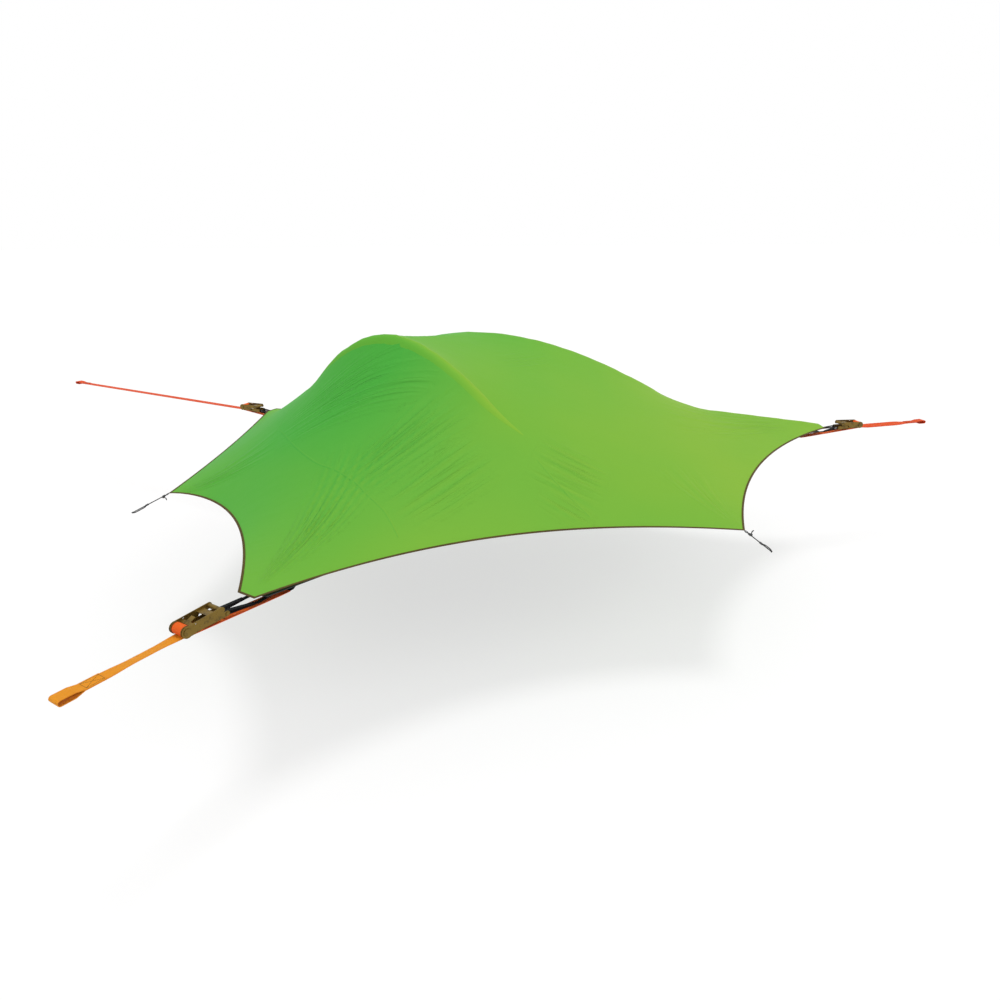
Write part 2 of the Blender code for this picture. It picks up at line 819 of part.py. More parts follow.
def make_winding(corner, parent):
    """The strap's turns on the spool, as one spiral whose end leaves at the bottom."""
    inner = spool_radius + touch_gap + strap_thickness / 2
    outer = winding_radius - strap_thickness / 2
    steps = winding_turns * winding_steps
    path = []
    for i in range(steps + 1):
        share = i / steps
        angle = -math.pi / 2 - 2 * math.pi * winding_turns * (1 - share)
        radius = inner + (outer - inner) * share
        path.append((radius * math.cos(angle), radius * math.sin(angle)))
    least = min(
        math.dist(path[i], path[j])
        for i in range(steps + 1)
        for j in range(i + winding_steps // 2, steps + 1)
    )
    print("least gap between the winding's turns, mm:", round((least - strap_thickness) / MM, 2))
    half = strap_width / 2 - touch_gap
    winding = upright_plate(f"{corner}_strap_winding", [ribbon_outline(path, strap_thickness)], -half, half)
    keep(smooth(winding), "orange_webbing", parent)


def make_strap(corner, parent):
    """The taut strap from the spool to its sewn eye."""
    length = strap_length[corner]
    clear = winding_radius + touch_gap
    bottom = -clear
    top = strap_thickness - winding_radius
    middle = -strap_lift
    shoulder = length + eye_length * eye_shoulder_share
    outside, inside = eye_height / 2, eye_height / 2 - strap_thickness
    facet = eye_height / 4
    end = length + eye_length
    outer = arc((0, 0), clear, math.asin(top / clear), strap_end_angle, strap_end_steps)
    outer += [(length, bottom), (shoulder, middle - outside), (end - eye_seat, middle - outside)]
    outer += [(end, middle - facet), (end, middle + facet), (end - eye_seat, middle + outside)]
    outer += [(shoulder, middle + outside), (length, top + strap_thickness)]
    outer += [(length - stitch_length, top + strap_thickness), (length - stitch_length, top)]
    hole = [(length + strap_thickness * 4, middle), (shoulder, middle - inside)]
    hole += [(end - eye_seat, middle - inside), (end - strap_thickness, middle - facet)]
    hole += [(end - strap_thickness, middle + facet), (end - eye_seat, middle + inside)]
    hole += [(shoulder, middle + inside)]
    half = strap_width / 2
    strap = upright_plate(f"{corner}_strap", [outer, hole], -half, half)
    keep(strap, "orange_webbing", parent)


def side_outline_frame():
    """A frame plate: a round end at the spool, narrowing to the bolt."""
    head = arc((0, 0), disc_radius, *frame_head_arc, head_steps)
    waist = [(disc_radius * x, disc_radius * z) for x, z in frame_waist_shares]
    return head + waist + arc(bolt, frame_end_radius, *frame_end_arc, end_steps)


def slot_outline(angle, near, far, thickness):
    """A pawl's slot through a side plate, along a ray from the spool axis."""
    along = Vector((math.cos(angle), math.sin(angle)))
    across = Vector((-along.y, along.x)) * (thickness / 2 + running_gap)
    corners_2d = [along * near - across, along * far - across, along * far + across, along * near + across]
    return [tuple(c) for c in corners_2d]


def make_frame(corner, parent):
    """The ratchet's frame: two side plates and the web that joins them."""
    holes = [
        circle((0, 0), bearing_radius, round_sides),
        circle(bolt, bearing_share * (bolt_radius + touch_gap), small_sides),
        slot_outline(lock_pawl_angle, lock_near - running_gap, lock_near + slot_length, pawl_thickness),
    ]
    outlines = [side_outline_frame()] + holes
    frame = upright_plate(f"{corner}_ratchet_frame", outlines, -frame_outer, -frame_inner)
    frame.parent = parent
    other = upright_plate("other_plate", outlines, frame_inner, frame_outer)
    web_top = -bolt_drop - frame_end_radius * frame_web_rise_share
    inside = frame_inner + plate_thickness / 2
    start, stop = (-bolt_distance * share for share in frame_web_shares)
    web = box("web", (start, -inside, web_top - plate_thickness), (stop, inside, web_top))
    joined(frame, [other, web])
    keep(frame, "plated_steel", parent)


def make_bolt(corner, parent):
    """The bolt across the frame's inner end, with its head and nut."""
    end = frame_outer + running_gap
    low, high = -end - plate_thickness, end + plate_thickness
    x, z = bolt
    shank = rod(f"{corner}_end_bolt", bolt_radius, (x, low, z), (x, high, z), small_sides)
    shank.parent = parent
    heads = []
    for side in (-1, 1):
        start, stop = (x, side * end, z), (x, side * (end + plate_thickness), z)
        heads.append(rod("head", bolt_radius * bolt_head_share, start, stop, bolt_head_sides))
    joined(shank, heads)
    keep(shank, "plated_steel", parent)


def side_outline_handle():
    """A handle plate: round at the spool, deep, then stepped up to the grip."""
    step = -handle_length * handle_step_share
    head = arc((0, 0), disc_radius, *handle_head_arc, head_steps)
    grip = arc((-handle_length, handle_rise), grip_radius * handle_grip_share, *handle_grip_arc, end_steps)
    under = [(step - handle_step_run, handle_rise * handle_step_rise_share)]
    under += [(step, -disc_radius * handle_step_depth_share)]
    return head + grip + under


def make_handle(corner, parent):
    """The ratchet's handle with its grip and cross plate, closed over the frame."""
    holes = [
        circle((0, 0), bearing_radius, round_sides),
        slot_outline(drive_pawl_angle, pawl_near - running_gap, pawl_near + slot_length, pawl_thickness),
    ]
    outlines = [side_outline_handle()] + holes
    handle = upright_plate(f"{corner}_ratchet_handle", outlines, -handle_outer, -handle_inner)
    handle.parent = parent
    inside = handle_inner + plate_thickness / 2
    grip_ends = [(-handle_length, y, handle_rise) for y in (-inside, inside)]
    grip = rod("grip", grip_radius, *grip_ends, round_sides)
    top = handle_rise * cross_plate_rise_share
    start, stop = (-handle_length * share for share in cross_plate_shares)
    web = box("cross_plate", (start, -inside, top - plate_thickness), (stop, inside, top))
    other = upright_plate("other_plate", outlines, handle_inner, handle_outer)
    joined(handle, [other, grip, web])
    keep(handle, "plated_steel", parent)


def pawl_outline(near, tip, bar_half, tongue_half, tongue_far):
    """A pawl seen from above: a bar with a finger for each wheel and, on some, a tongue to pull it by."""
    inner = wheel_inner - wheel_gap / 2
    far = near + pawl_depth
    points = [(tip, -wheel_outer), (near, -wheel_outer)]
    if bar_half > wheel_outer:
        points += [(near, -bar_half)]
    points += [(far, -bar_half)]
    if tongue_far > far:
        points += [(far, -tongue_half), (tongue_far, -tongue_half)]
        points += [(tongue_far, tongue_half), (far, tongue_half)]
    points += [(far, bar_half)]
    if bar_half > wheel_outer:
        points += [(near, bar_half)]
    points += [(near, wheel_outer), (tip, wheel_outer), (tip, inner)]
    points += [(near, inner), (near, -inner), (tip, -inner)]
    return points


def make_pawl(name, parent, angle, outline):
    """A spring-loaded pawl, its outline turned to slide along a ray from the spool axis."""
    half = pawl_thickness / 2
    pawl = flat_plate(name, [outline], -half, half)
    pawl.data.transform(Matrix.Rotation(-angle, 4, "Y"))
    keep(pawl, "plated_steel", parent)


def make_sling(corner, parent):
    """The black sling from the end bolt to the floor's corner, with the tongue for the strap's tail."""
    level = -strap_lift - floor_top - 2 * touch_gap - patch_thickness - sling_thickness / 2
    ring_radius = bolt_radius + touch_gap + sling_thickness
    bend = sling_bend - ratchet_gap
    finish = -ratchet_gap - patch_length * sling_reach_share
    run = [(bolt[0] - bolt_radius - touch_gap - sling_thickness / 2, bolt[1]), (bend, level), (finish, level)]
    cross_half = frame_inner - touch_gap * 2
    pieces = []
    for side in (-1, 1):
        low, high = sorted((side * cross_half, side * (cross_half - sling_width)))
        ring = [circle(bolt, ring_radius, round_sides), circle(bolt, bolt_radius + touch_gap, round_sides)]
        pieces.append(upright_plate("ring", ring, low + touch_gap, high - touch_gap))
        pieces.append(upright_plate("leg", [ribbon_outline(run, sling_thickness)], low, high))
    half_level = (sling_thickness + touch_gap) / 2
    cross_end = finish + sling_cross_overlap
    cross_start = cross_end - sling_cross_length
    low = (cross_start, -cross_half, level - half_level)
    high = (cross_end, cross_half, level + half_level)
    sling = box(f"{corner}_corner_sling", low, high)
    sling.parent = parent
    tongue_end = -ratchet_gap - tail_end - touch_gap
    tongue = [(cross_start + sling_cross_overlap, level), (tongue_end - tail_bend_run / 2, tail_level)]
    tongue += [(tongue_end, tail_level)]
    outline = ribbon_outline(tongue, strap_thickness)
    pieces.append(upright_plate("tongue", [outline], -strap_width / 2, strap_width / 2))
    joined(sling, pieces)
    keep(sling, "black_webbing", parent)


def make_tail(corner, parent):
    """The strap's loose tail, led from under the winding to the sling's tongue."""
    finish = -ratchet_gap - tail_end
    under_winding = -winding_radius - touch_gap - strap_thickness / 2
    path = [(0, under_winding), (finish + tail_bend_run, tail_level), (finish, tail_level)]
    outline = ribbon_outline(path, strap_thickness)
    tail = upright_plate(f"{corner}_strap_tail", [outline], -strap_width / 2, strap_width / 2)
    keep(tail, "orange_webbing", parent)


def make_ratchet(corner):
    """A corner's whole suspension."""
    parent = bpy.data.objects.new(f"{corner}_spool_axis", None)
    parts.objects.link(parent)
    parent.location = arm(corner, ratchet_reach, 0.0, strap_lift)
    parent.rotation_euler = (0, 0, corners[corner])
    bpy.context.view_layer.update()
    make_spool(corner, parent)
    make_winding(corner, parent)
    make_strap(corner, parent)
    make_frame(corner, parent)
    make_bolt(corner, parent)
    make_handle(corner, parent)
    tongue_half = tongue_width / 2
    drive = pawl_outline(pawl_near, wheel_tip_radius + running_gap, handle_outer, tongue_half, tongue_reach)
    lock = pawl_outline(lock_near, wheel_root_radius + running_gap, wheel_outer, 0, 0)
    make_pawl(f"{corner}_drive_pawl", parent, drive_pawl_angle, drive)
    make_pawl(f"{corner}_lock_pawl", parent, lock_pawl_angle, lock)
    make_sling(corner, parent)
    make_tail(corner, parent)


# Guys
def make_guy(side, start, run):
    """One of the fly's guys: a ring at the fly, a cord with its stopper, and the runner that slides on it."""
    start, run = Vector(start), Vector(run)
    along = run.normalized()
    parent = bpy.data.objects.new(f"{side}_guy_line", None)
    parts.objects.link(parent)
    parent.location = start
    parent.rotation_euler = Vector((1, 0, 0)).rotation_difference(along).to_euler()
    ring_centre = guy_ring_radius + guy_ring_wire + guy_ring_seat
    ring_points = [(ring_centre + x, y, 0) for x, y in circle((0, 0), guy_ring_radius, guy_ring_sides)]
    keep(tube(f"{side}_guy_ring", ring_points, guy_ring_wire, 1, closed=True), "black_webbing", parent)
    cord_start = ring_centre + guy_ring_radius + guy_ring_wire + touch_gap
    length = run.length
    steps = max(2, round((length - cord_start) / guy_cord_step))
    places = [(cord_start + (length - cord_start) * i / steps, 0, 0) for i in range(steps + 1)]
    cord = tube(f"{side}_guy_cord", places, guy_cord_radius, 2)
    keep(cord, "dark_cord", parent)
    middle = cord_start + (length - cord_start) * guy_runner_place_share
    half = guy_runner_length / 2
    ends = [(middle - half, 0, 0), (middle + half, 0, 0)]
    runner = rod(f"{side}_guy_runner", guy_runner_radius, *ends, small_sides)
    runner.parent = parent
    overrun = half * bore_overrun_share
    ends = [(middle - overrun, 0, 0), (middle + overrun, 0, 0)]
    bore = rod("bore", bearing_share * (guy_cord_radius + touch_gap), *ends, small_sides)
    boolean(runner, bore, "DIFFERENCE", parent)
    keep(runner, "black_plastic", parent)


make_fly()
make_canopy()
make_floor()
make_pole("front_pole", front_pole_line)
make_pole("long_pole", long_pole_line)
for corner_name in corners:
    make_ratchet(corner_name)
make_guy("left", left_guy, left_guy_run)
make_guy("front", front_guy, front_guy_run)
make_guy("back", mirrored(front_guy), mirrored(front_guy_run))
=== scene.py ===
"""Looks of a tree tent: its fly, inner tent, floor, poles, guys and the webbing and ratchets that hang it.

Metres, +Z up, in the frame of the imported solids. The three straps' lines meet at the origin.
"""

import json
import logging
import math
from dataclasses import dataclass
from enum import Enum
from typing import Callable, Iterable, Sequence

import bmesh
import bpy
import numpy as np
from mathutils import Matrix, Vector
from mathutils.bvhtree import BVHTree
from mathutils.geometry import delaunay_2d_cdt

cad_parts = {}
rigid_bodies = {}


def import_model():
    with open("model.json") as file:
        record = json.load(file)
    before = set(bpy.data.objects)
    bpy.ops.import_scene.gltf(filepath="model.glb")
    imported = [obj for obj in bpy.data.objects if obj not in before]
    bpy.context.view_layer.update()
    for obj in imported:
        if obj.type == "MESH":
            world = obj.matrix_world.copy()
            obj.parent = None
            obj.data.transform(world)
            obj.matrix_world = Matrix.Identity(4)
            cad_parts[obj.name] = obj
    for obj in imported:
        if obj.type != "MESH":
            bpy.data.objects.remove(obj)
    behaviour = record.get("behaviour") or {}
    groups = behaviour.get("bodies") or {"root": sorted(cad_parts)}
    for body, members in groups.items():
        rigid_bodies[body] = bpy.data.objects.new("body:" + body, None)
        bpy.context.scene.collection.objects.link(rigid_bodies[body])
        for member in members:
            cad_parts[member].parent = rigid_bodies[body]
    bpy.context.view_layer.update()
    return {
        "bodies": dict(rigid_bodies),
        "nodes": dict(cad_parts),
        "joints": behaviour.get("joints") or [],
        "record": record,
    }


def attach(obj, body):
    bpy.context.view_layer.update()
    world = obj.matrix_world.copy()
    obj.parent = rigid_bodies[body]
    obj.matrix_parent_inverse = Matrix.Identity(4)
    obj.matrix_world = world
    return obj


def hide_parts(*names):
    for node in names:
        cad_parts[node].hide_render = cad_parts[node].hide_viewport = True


log = logging.getLogger("tree_tent")
Colour = tuple[float, float, float]
Point = tuple[float, float, float]
Place = tuple[float, float]
Line = Sequence[Vector]
Piece = bpy.types.Object
Socket = bpy.types.NodeSocket
Tree = bpy.types.NodeTree
Node = bpy.types.Node
Material = bpy.types.Material


class Corner(Enum):
    """The tent's three corners."""

    FRONT_LEFT = "front_left"
    BACK_LEFT = "back_left"
    RIGHT = "right"


class Side(Enum):
    """The floor's three sides."""

    FRONT = "front"
    BACK = "back"
    LEFT = "left"


# Handwork: selecting, adding, shaping and finishing meshes
def deselect() -> None:
    """Deselects every object."""
    for obj in bpy.context.view_layer.objects:
        obj.select_set(False)


def activate(obj: Piece) -> Piece:
    """Makes an object the only selected one.

    Args:
        obj: The object.

    Returns:
        The same object.
    """
    deselect()
    obj.select_set(True)
    bpy.context.view_layer.objects.active = obj
    return obj


def apply_modifiers(obj: Piece) -> Piece:
    """Applies an object's modifiers in their order.

    Args:
        obj: The object.

    Returns:
        The same object.
    """
    activate(obj)
    for modifier in list(obj.modifiers):
        bpy.ops.object.modifier_apply(modifier=modifier.name)
    return obj


def shade(obj: Piece, angle: float = 35.0) -> Piece:
    """Smooth shading with the edges kept that turn more than an angle.

    Args:
        obj: The object.
        angle: The angle in degrees.

    Returns:
        The same object.
    """
    activate(obj)
    bpy.ops.object.shade_smooth_by_angle(angle=math.radians(angle))
    return obj


def link_mesh(name: str, mesh: bpy.types.Mesh) -> Piece:
    """Puts a mesh in the scene.

    Args:
        name: The piece's name.
        mesh: Its mesh.

    Returns:
        The new object.
    """
    obj = bpy.data.objects.new(name, mesh)
    bpy.context.scene.collection.objects.link(obj)
    return obj


def mesh_piece(name: str, verts: Sequence[Point], faces: Sequence[Sequence[int]]) -> Piece:
    """An object whose mesh is given by its points and faces.

    Args:
        name: The object's name.
        verts: The points.
        faces: The points' numbers in each face.

    Returns:
        The new object.
    """
    mesh = bpy.data.meshes.new(name)
    mesh.from_pydata(verts, [], faces)
    return link_mesh(name, mesh)


def added(primitive: Callable[..., object], **sizes: object) -> Piece:
    """Adds a primitive with nothing else selected.

    Args:
        primitive: The operator that adds it.
        sizes: The operator's settings.

    Returns:
        The new object.
    """
    deselect()
    primitive(**sizes)
    return bpy.context.active_object


def stretched(obj: Piece, factors: Point) -> Piece:
    """Resizes a new primitive in edit mode.

    Args:
        obj: The primitive, still selected.
        factors: The factor along each axis.

    Returns:
        The same object.
    """
    bpy.ops.object.mode_set(mode="EDIT")
    bpy.ops.mesh.select_all(action="SELECT")
    bpy.ops.transform.resize(value=factors)
    bpy.ops.object.mode_set(mode="OBJECT")
    return obj


def joined(pieces: Sequence[Piece], name: str) -> Piece:
    """Joins pieces into the first of them.

    Args:
        pieces: The pieces.
        name: The joined piece's name.

    Returns:
        The joined object.
    """
    activate(pieces[0])
    for piece in pieces[1:]:
        piece.select_set(True)
    bpy.ops.object.join()
    pieces[0].name = name
    return pieces[0]


def add_wall(obj: Piece, thickness: float, offset: float = 0.0) -> None:
    """Adds a modifier that gives a sheet its thickness.

    Args:
        obj: The open sheet.
        thickness: The thickness.
        offset: -1 to grow it against the normals, 1 along them, 0 both ways.
    """
    wall = obj.modifiers.new("thickness", "SOLIDIFY")
    wall.thickness = thickness
    wall.offset = offset


def add_bevel(obj: Piece, name: str, width: float, segments: int) -> None:
    """Adds a modifier that rounds the sharp edges.

    Args:
        obj: The object.
        name: The modifier's name.
        width: The round's width.
        segments: How many steps it has.
    """
    bevel = obj.modifiers.new(name, "BEVEL")
    bevel.width = width
    bevel.segments = segments
    bevel.limit_method = "ANGLE"


def add_rounding(obj: Piece, levels: int, boundary: str = "PRESERVE_CORNERS") -> None:
    """Adds a modifier that divides a sheet and rounds it.

    Args:
        obj: The open sheet.
        levels: How often it is divided.
        boundary: How its edge is treated.
    """
    divide = obj.modifiers.new("rounding", "SUBSURF")
    divide.levels = divide.render_levels = levels
    divide.boundary_smooth = boundary


def finish_piece(
    obj: Piece, body: str, material: Material, replaces: Sequence[str] = ()
) -> Piece:
    """Dresses a finished piece and fastens it to its body.

    Args:
        obj: The piece.
        body: The body it moves with.
        material: Its material.
        replaces: Names of the solids that it stands for.

    Returns:
        The same object.
    """
    obj.data.materials.clear()
    obj.data.materials.append(material)
    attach(obj, body)
    if replaces:
        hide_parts(*replaces)
    log.info("%s: %d faces on %s", obj.name, len(getattr(obj.data, "polygons", [])), body)
    return obj


def point_out(obj: Piece) -> Piece:
    """Turns a mesh's faces outwards.

    Args:
        obj: The object.

    Returns:
        The same object.
    """
    activate(obj)
    bpy.ops.object.mode_set(mode="EDIT")
    bpy.ops.mesh.select_all(action="SELECT")
    bpy.ops.mesh.normals_make_consistent(inside=False)
    bpy.ops.object.mode_set(mode="OBJECT")
    return obj


def face_up(obj: Piece) -> Piece:
    """Turns an open sheet's faces upwards.

    Args:
        obj: The sheet.

    Returns:
        The same object.
    """
    point_out(obj)
    if sum(face.normal.z * face.area for face in obj.data.polygons) < 0:
        obj.data.flip_normals()
    return obj


# Sizes of the tent's plan, the same as in the part's source
@dataclass(frozen=True)
class TentPlan:
    """The tent's lines in plan and height."""

    arm_angle: float = math.radians(43.4)
    fly_reach_left: float = 2.167
    fly_reach_right: float = 2.150
    floor_reach: float = 2.110
    ratchet_reach: float = 2.448
    fly_tip_width: float = 0.087
    fly_tip_height: float = 0.025
    fly_front_sag: float = 0.240
    fly_right_sag: float = 0.175
    fly_left_sag: float = 0.185
    fly_back_sag: float = 0.045
    left_guy: Point = (-2.08299, 0.0, -0.057)
    front_guy: Point = (0.72394, -1.26706, -0.066)
    ridge_seam_height: float = 0.0503
    edge_droop_power: float = 1.6
    left_sag_peak: float = 0.4
    floor_sag: float = 0.040
    floor_corner_width: float = 0.080
    floor_top: float = 0.0015
    cloth_gap: float = 0.0003
    foot_inset: float = 0.018
    pole_radius: float = 0.0055
    pole_stations: int = 26
    foot_seat: float = 0.0153
    front_pole: tuple[float, float, float, float, float] = (0.4173, 0.6549, 0.7475, 3.5, 0.5616)
    long_pole: tuple[float, float, float, float, float] = (0.7797, 0.8175, 0.6601, 1.0569, 0.4353)
    seam_start: float = 0.9263
    seam_tip_inset: float = 0.024

    def angle(self, corner: Corner) -> float:
        """The direction of a corner's arm from +X.

        Args:
            corner: The corner.

        Returns:
            The angle in radians.
        """
        if corner is Corner.FRONT_LEFT:
            return math.pi + self.arm_angle
        if corner is Corner.BACK_LEFT:
            return math.pi - self.arm_angle
        return 0.0

    def arm(self, corner: Corner, distance: float, across: float = 0.0, height: float = 0.0) -> Vector:
        """A point along a corner's arm.

        Args:
            corner: The corner.
            distance: Its distance from the origin.
            across: Its distance to the left of the arm, looking outwards.
            height: Its height.

        Returns:
            The point.
        """
        turn = self.angle(corner)
        x = distance * math.cos(turn) - across * math.sin(turn)
        y = distance * math.sin(turn) + across * math.cos(turn)
        return Vector((x, y, height))

    def corner_frame(self, corner: Corner, height: float) -> Matrix:
        """The frame of a corner's ratchet: +X outwards, its origin on the spool's axis."""
        place = self.arm(corner, self.ratchet_reach, 0.0, height)
        return Matrix.Translation(place) @ Matrix.Rotation(self.angle(corner), 4, "Z")

    @staticmethod
    def bowed(start: Vector, end: Vector, sag: float, steps: int, peak: float = 0.5) -> list[Vector]:
        """Points from the start up to the end, bowed to the left of that line.

        Args:
            start: The first point.
            end: The end, which isn't among the points.
            sag: The bow's depth.
            steps: How many points.
            peak: The share of the line at which the bow is deepest.

        Returns:
            The points.
        """
        run = end - start
        side = Vector((-run.y, run.x, 0)).normalized()
        power = math.log(0.5) / math.log(peak)
        points = []
        for share in TentPlan.shares(steps):
            bow = share ** power
            points.append(start + run * share + side * sag * 4 * bow * (1 - bow))
        return points

    @staticmethod
    def shares(steps: int) -> list[float]:
        """Even shares of an edge, with one more close to each end so that rounding keeps the tips sharp."""
        return [0.0, 0.2 / steps, *(i / steps for i in range(1, steps)), 1 - 0.2 / steps]

    def fly_corner(self, corner: Corner) -> tuple[Vector, Vector]:
        """The two ends of the fly's short edge at a corner.

        Args:
            corner: The corner.

        Returns:
            The ends, anticlockwise.
        """
        reach = self.fly_reach_right if corner is Corner.RIGHT else self.fly_reach_left
        half, height = self.fly_tip_width / 2, self.fly_tip_height
        return self.arm(corner, reach, -half, height), self.arm(corner, reach, half, height)

    def fly_edge(
        self, start: Vector, end: Vector, sag: float, spacing: float, peak: float = 0.5, guy_last: bool = True
    ) -> list[Vector]:
        """One sagging edge of the fly, which droops towards its guy.

        Args:
            start: The first point.
            end: The end, which isn't among the points.
            sag: The bow's depth.
            spacing: The distance between points.
            peak: The share of the edge at which the bow is deepest.
            guy_last: Whether the guy is at the end.

        Returns:
            The points.
        """
        steps = max(4, round((end - start).length / spacing))
        points = self.bowed(start, end, sag, steps, peak)
        for share, point in zip(self.shares(steps), points):
            if guy_last:
                point.z = start.z + (end.z - start.z) * share ** self.edge_droop_power
            else:
                point.z = end.z + (start.z - end.z) * (1 - share) ** self.edge_droop_power
        return points

    @staticmethod
    def tip(start: Vector, end: Vector) -> list[Vector]:
        """A short edge across a tip."""
        return [start + (end - start) * share for share in (0.0, 0.12, 0.5, 0.88)]

    def fly_outline(self, spacing: float) -> list[Vector]:
        """The fly's edge, anticlockwise from the front left tip.

        Args:
            spacing: The distance between points.

        Returns:
            The points.
        """
        corners = (Corner.FRONT_LEFT, Corner.RIGHT, Corner.BACK_LEFT)
        front, right, back = (self.fly_corner(corner) for corner in corners)
        front_guy, left_guy = Vector(self.front_guy), Vector(self.left_guy)
        back_guy = Vector((front_guy.x, -front_guy.y, front_guy.z))
        points = self.tip(*front)
        points += self.fly_edge(front[1], front_guy, self.fly_front_sag, spacing)
        points += self.fly_edge(front_guy, right[0], self.fly_right_sag, spacing, guy_last=False)
        points += self.tip(*right)
        points += self.fly_edge(right[1], back_guy, self.fly_right_sag, spacing)
        points += self.fly_edge(back_guy, back[0], self.fly_front_sag, spacing, guy_last=False)
        points += self.tip(*back)
        points += self.fly_edge(back[1], left_guy, self.fly_back_sag, spacing)
        points += self.fly_edge(
            left_guy, front[0], self.fly_left_sag, spacing, self.left_sag_peak, guy_last=False
        )
        return points

    def floor_corner(self, corner: Corner) -> tuple[Vector, Vector]:
        """The two ends of the floor's short edge at a corner."""
        half = self.floor_corner_width / 2
        return self.arm(corner, self.floor_reach, -half), self.arm(corner, self.floor_reach, half)

    def floor_side(self, side: Side) -> tuple[Vector, Vector]:
        """The ends of one side of the floor.

        Args:
            side: The side.

        Returns:
            Its start and end, anticlockwise.
        """
        order = {
            Side.FRONT: (Corner.FRONT_LEFT, Corner.RIGHT),
            Side.BACK: (Corner.RIGHT, Corner.BACK_LEFT),
            Side.LEFT: (Corner.BACK_LEFT, Corner.FRONT_LEFT),
        }
        first, last = order[side]
        return self.floor_corner(first)[1], self.floor_corner(last)[0]

    def floor_edge(self, side: Side, spacing: float) -> list[Vector]:
        """The points of one side of the floor.

        Args:
            side: The side.
            spacing: The distance between points.

        Returns:
            The points, both ends included.
        """
        start, end = self.floor_side(side)
        length = (end - start).length
        return self.bowed(start, end, self.floor_sag * length, max(4, round(length / spacing))) + [end]

    def floor_outline(self, spacing: float) -> list[Vector]:
        """The floor's edge, anticlockwise."""
        return [p for side in SIDE_ORDER for p in self.floor_edge(side, spacing)]

    def place_on_side(self, side: Side, share: float, inward: float) -> Vector:
        """A point of a floor side, moved inwards.

        Args:
            side: The side.
            share: Its share of the side.
            inward: The distance it is moved.

        Returns:
            The point.
        """
        start, end = self.floor_side(side)
        run = end - start
        normal = Vector((-run.y, run.x, 0)).normalized()
        sag = self.floor_sag * run.length * 4 * share * (1 - share)
        return start + run * share + normal * (sag + inward)

    def arch(
        self, start: Vector, end: Vector, height: float, roundness: float, apex: float
    ) -> list[Vector]:
        """Centre points of a pole that stands in one upright plane.

        Args:
            start: Its first foot.
            end: Its second foot.
            height: Its rise.
            roundness: A low one gives straighter legs.
            apex: The share of the span at which it is highest.

        Returns:
            The points.
        """
        power = math.log(0.5) / math.log(apex)
        crown = math.sqrt(1 + roundness ** 2)
        points = []
        for i in range(self.pole_stations + 1):
            share = i / self.pole_stations
            side = 2 * share ** power - 1
            rise = (crown - math.sqrt(side ** 2 + roundness ** 2)) / (crown - roundness)
            point = start + (end - start) * share
            point.z = start.z + height * rise
            points.append(point)
        return points

    def foot(self, side: Side, share: float) -> Vector:
        """The place of a pole's foot on a side of the floor."""
        return self.place_on_side(side, share, self.foot_inset) + Vector((0, 0, self.foot_seat))

    def front_pole_line(self) -> list[Vector]:
        """The front pole's centre points, from the floor's front side to its left side."""
        first, last, *shape = self.front_pole
        return self.arch(self.foot(Side.FRONT, first), self.foot(Side.LEFT, 1 - last), *shape)

    def long_pole_line(self) -> list[Vector]:
        """The long pole's centre points, from the floor's left side to its back side."""
        first, last, *shape = self.long_pole
        return self.arch(self.foot(Side.LEFT, 1 - first), self.foot(Side.BACK, 1 - last), *shape)


SIDE_ORDER = (Side.FRONT, Side.BACK, Side.LEFT)
LEAST_SLANT = 0.35
PLAN = TentPlan()


def lifted(points: Line, distance: float) -> list[Vector]:
    """The points of an arch moved outwards in its own plane.

    Args:
        points: The arch's points.
        distance: The distance they are moved.

    Returns:
        The moved points.
    """
    moved = []
    for i, point in enumerate(points):
        run = (points[min(i + 1, len(points) - 1)] - points[max(i - 1, 0)]).normalized()
        level = Vector((run.x, run.y, 0))
        outward = Vector((0, 0, 1)) * level.length - level.normalized() * run.z
        moved.append(point + outward * distance)
    return moved


def mitre(points: Line, index: int) -> tuple[Vector, float, Vector]:
    """How a closed line turns at one of its points, in plan.

    Args:
        points: The line's points, anticlockwise.
        index: The point's number.

    Returns:
        The way inwards, its slant to the line's own normal as a cosine, and the way along the line.
    """
    before = (points[index] - points[index - 1]).to_2d().normalized()
    after = (points[(index + 1) % len(points)] - points[index]).to_2d().normalized()
    across = Vector((-before.y, before.x))
    normal = (across + Vector((-after.y, after.x))).normalized()
    return normal, max(LEAST_SLANT, normal.dot(across)), before + after


def inset(points: Line, distance: float) -> list[Vector]:
    """A closed line moved inwards in plan, its corners mitred.

    Args:
        points: The line's points, anticlockwise.
        distance: The distance they are moved.

    Returns:
        The moved points.
    """
    moved = []
    for i, point in enumerate(points):
        normal, slant, _ = mitre(points, i)
        moved.append(point + (normal * distance / slant).to_3d())
    return moved


def refined(points: Line, spacing: float) -> list[Vector]:
    """A line of points with more points on a smooth curve through them.

    Args:
        points: The points.
        spacing: The distance between the new points.

    Returns:
        The new points.
    """
    fine = []
    for i in range(len(points) - 1):
        before, start, end, after = (points[max(0, min(len(points) - 1, i + k))] for k in (-1, 0, 1, 2))
        steps = max(1, round((end - start).length / spacing))
        for k in range(steps):
            t = k / steps
            square, cube = 2 * before - 5 * start + 4 * end - after, 3 * start - before - 3 * end + after
            fine.append(0.5 * (2 * start + (end - before) * t + square * t * t + cube * t * t * t))
    return fine + [points[-1].copy()]


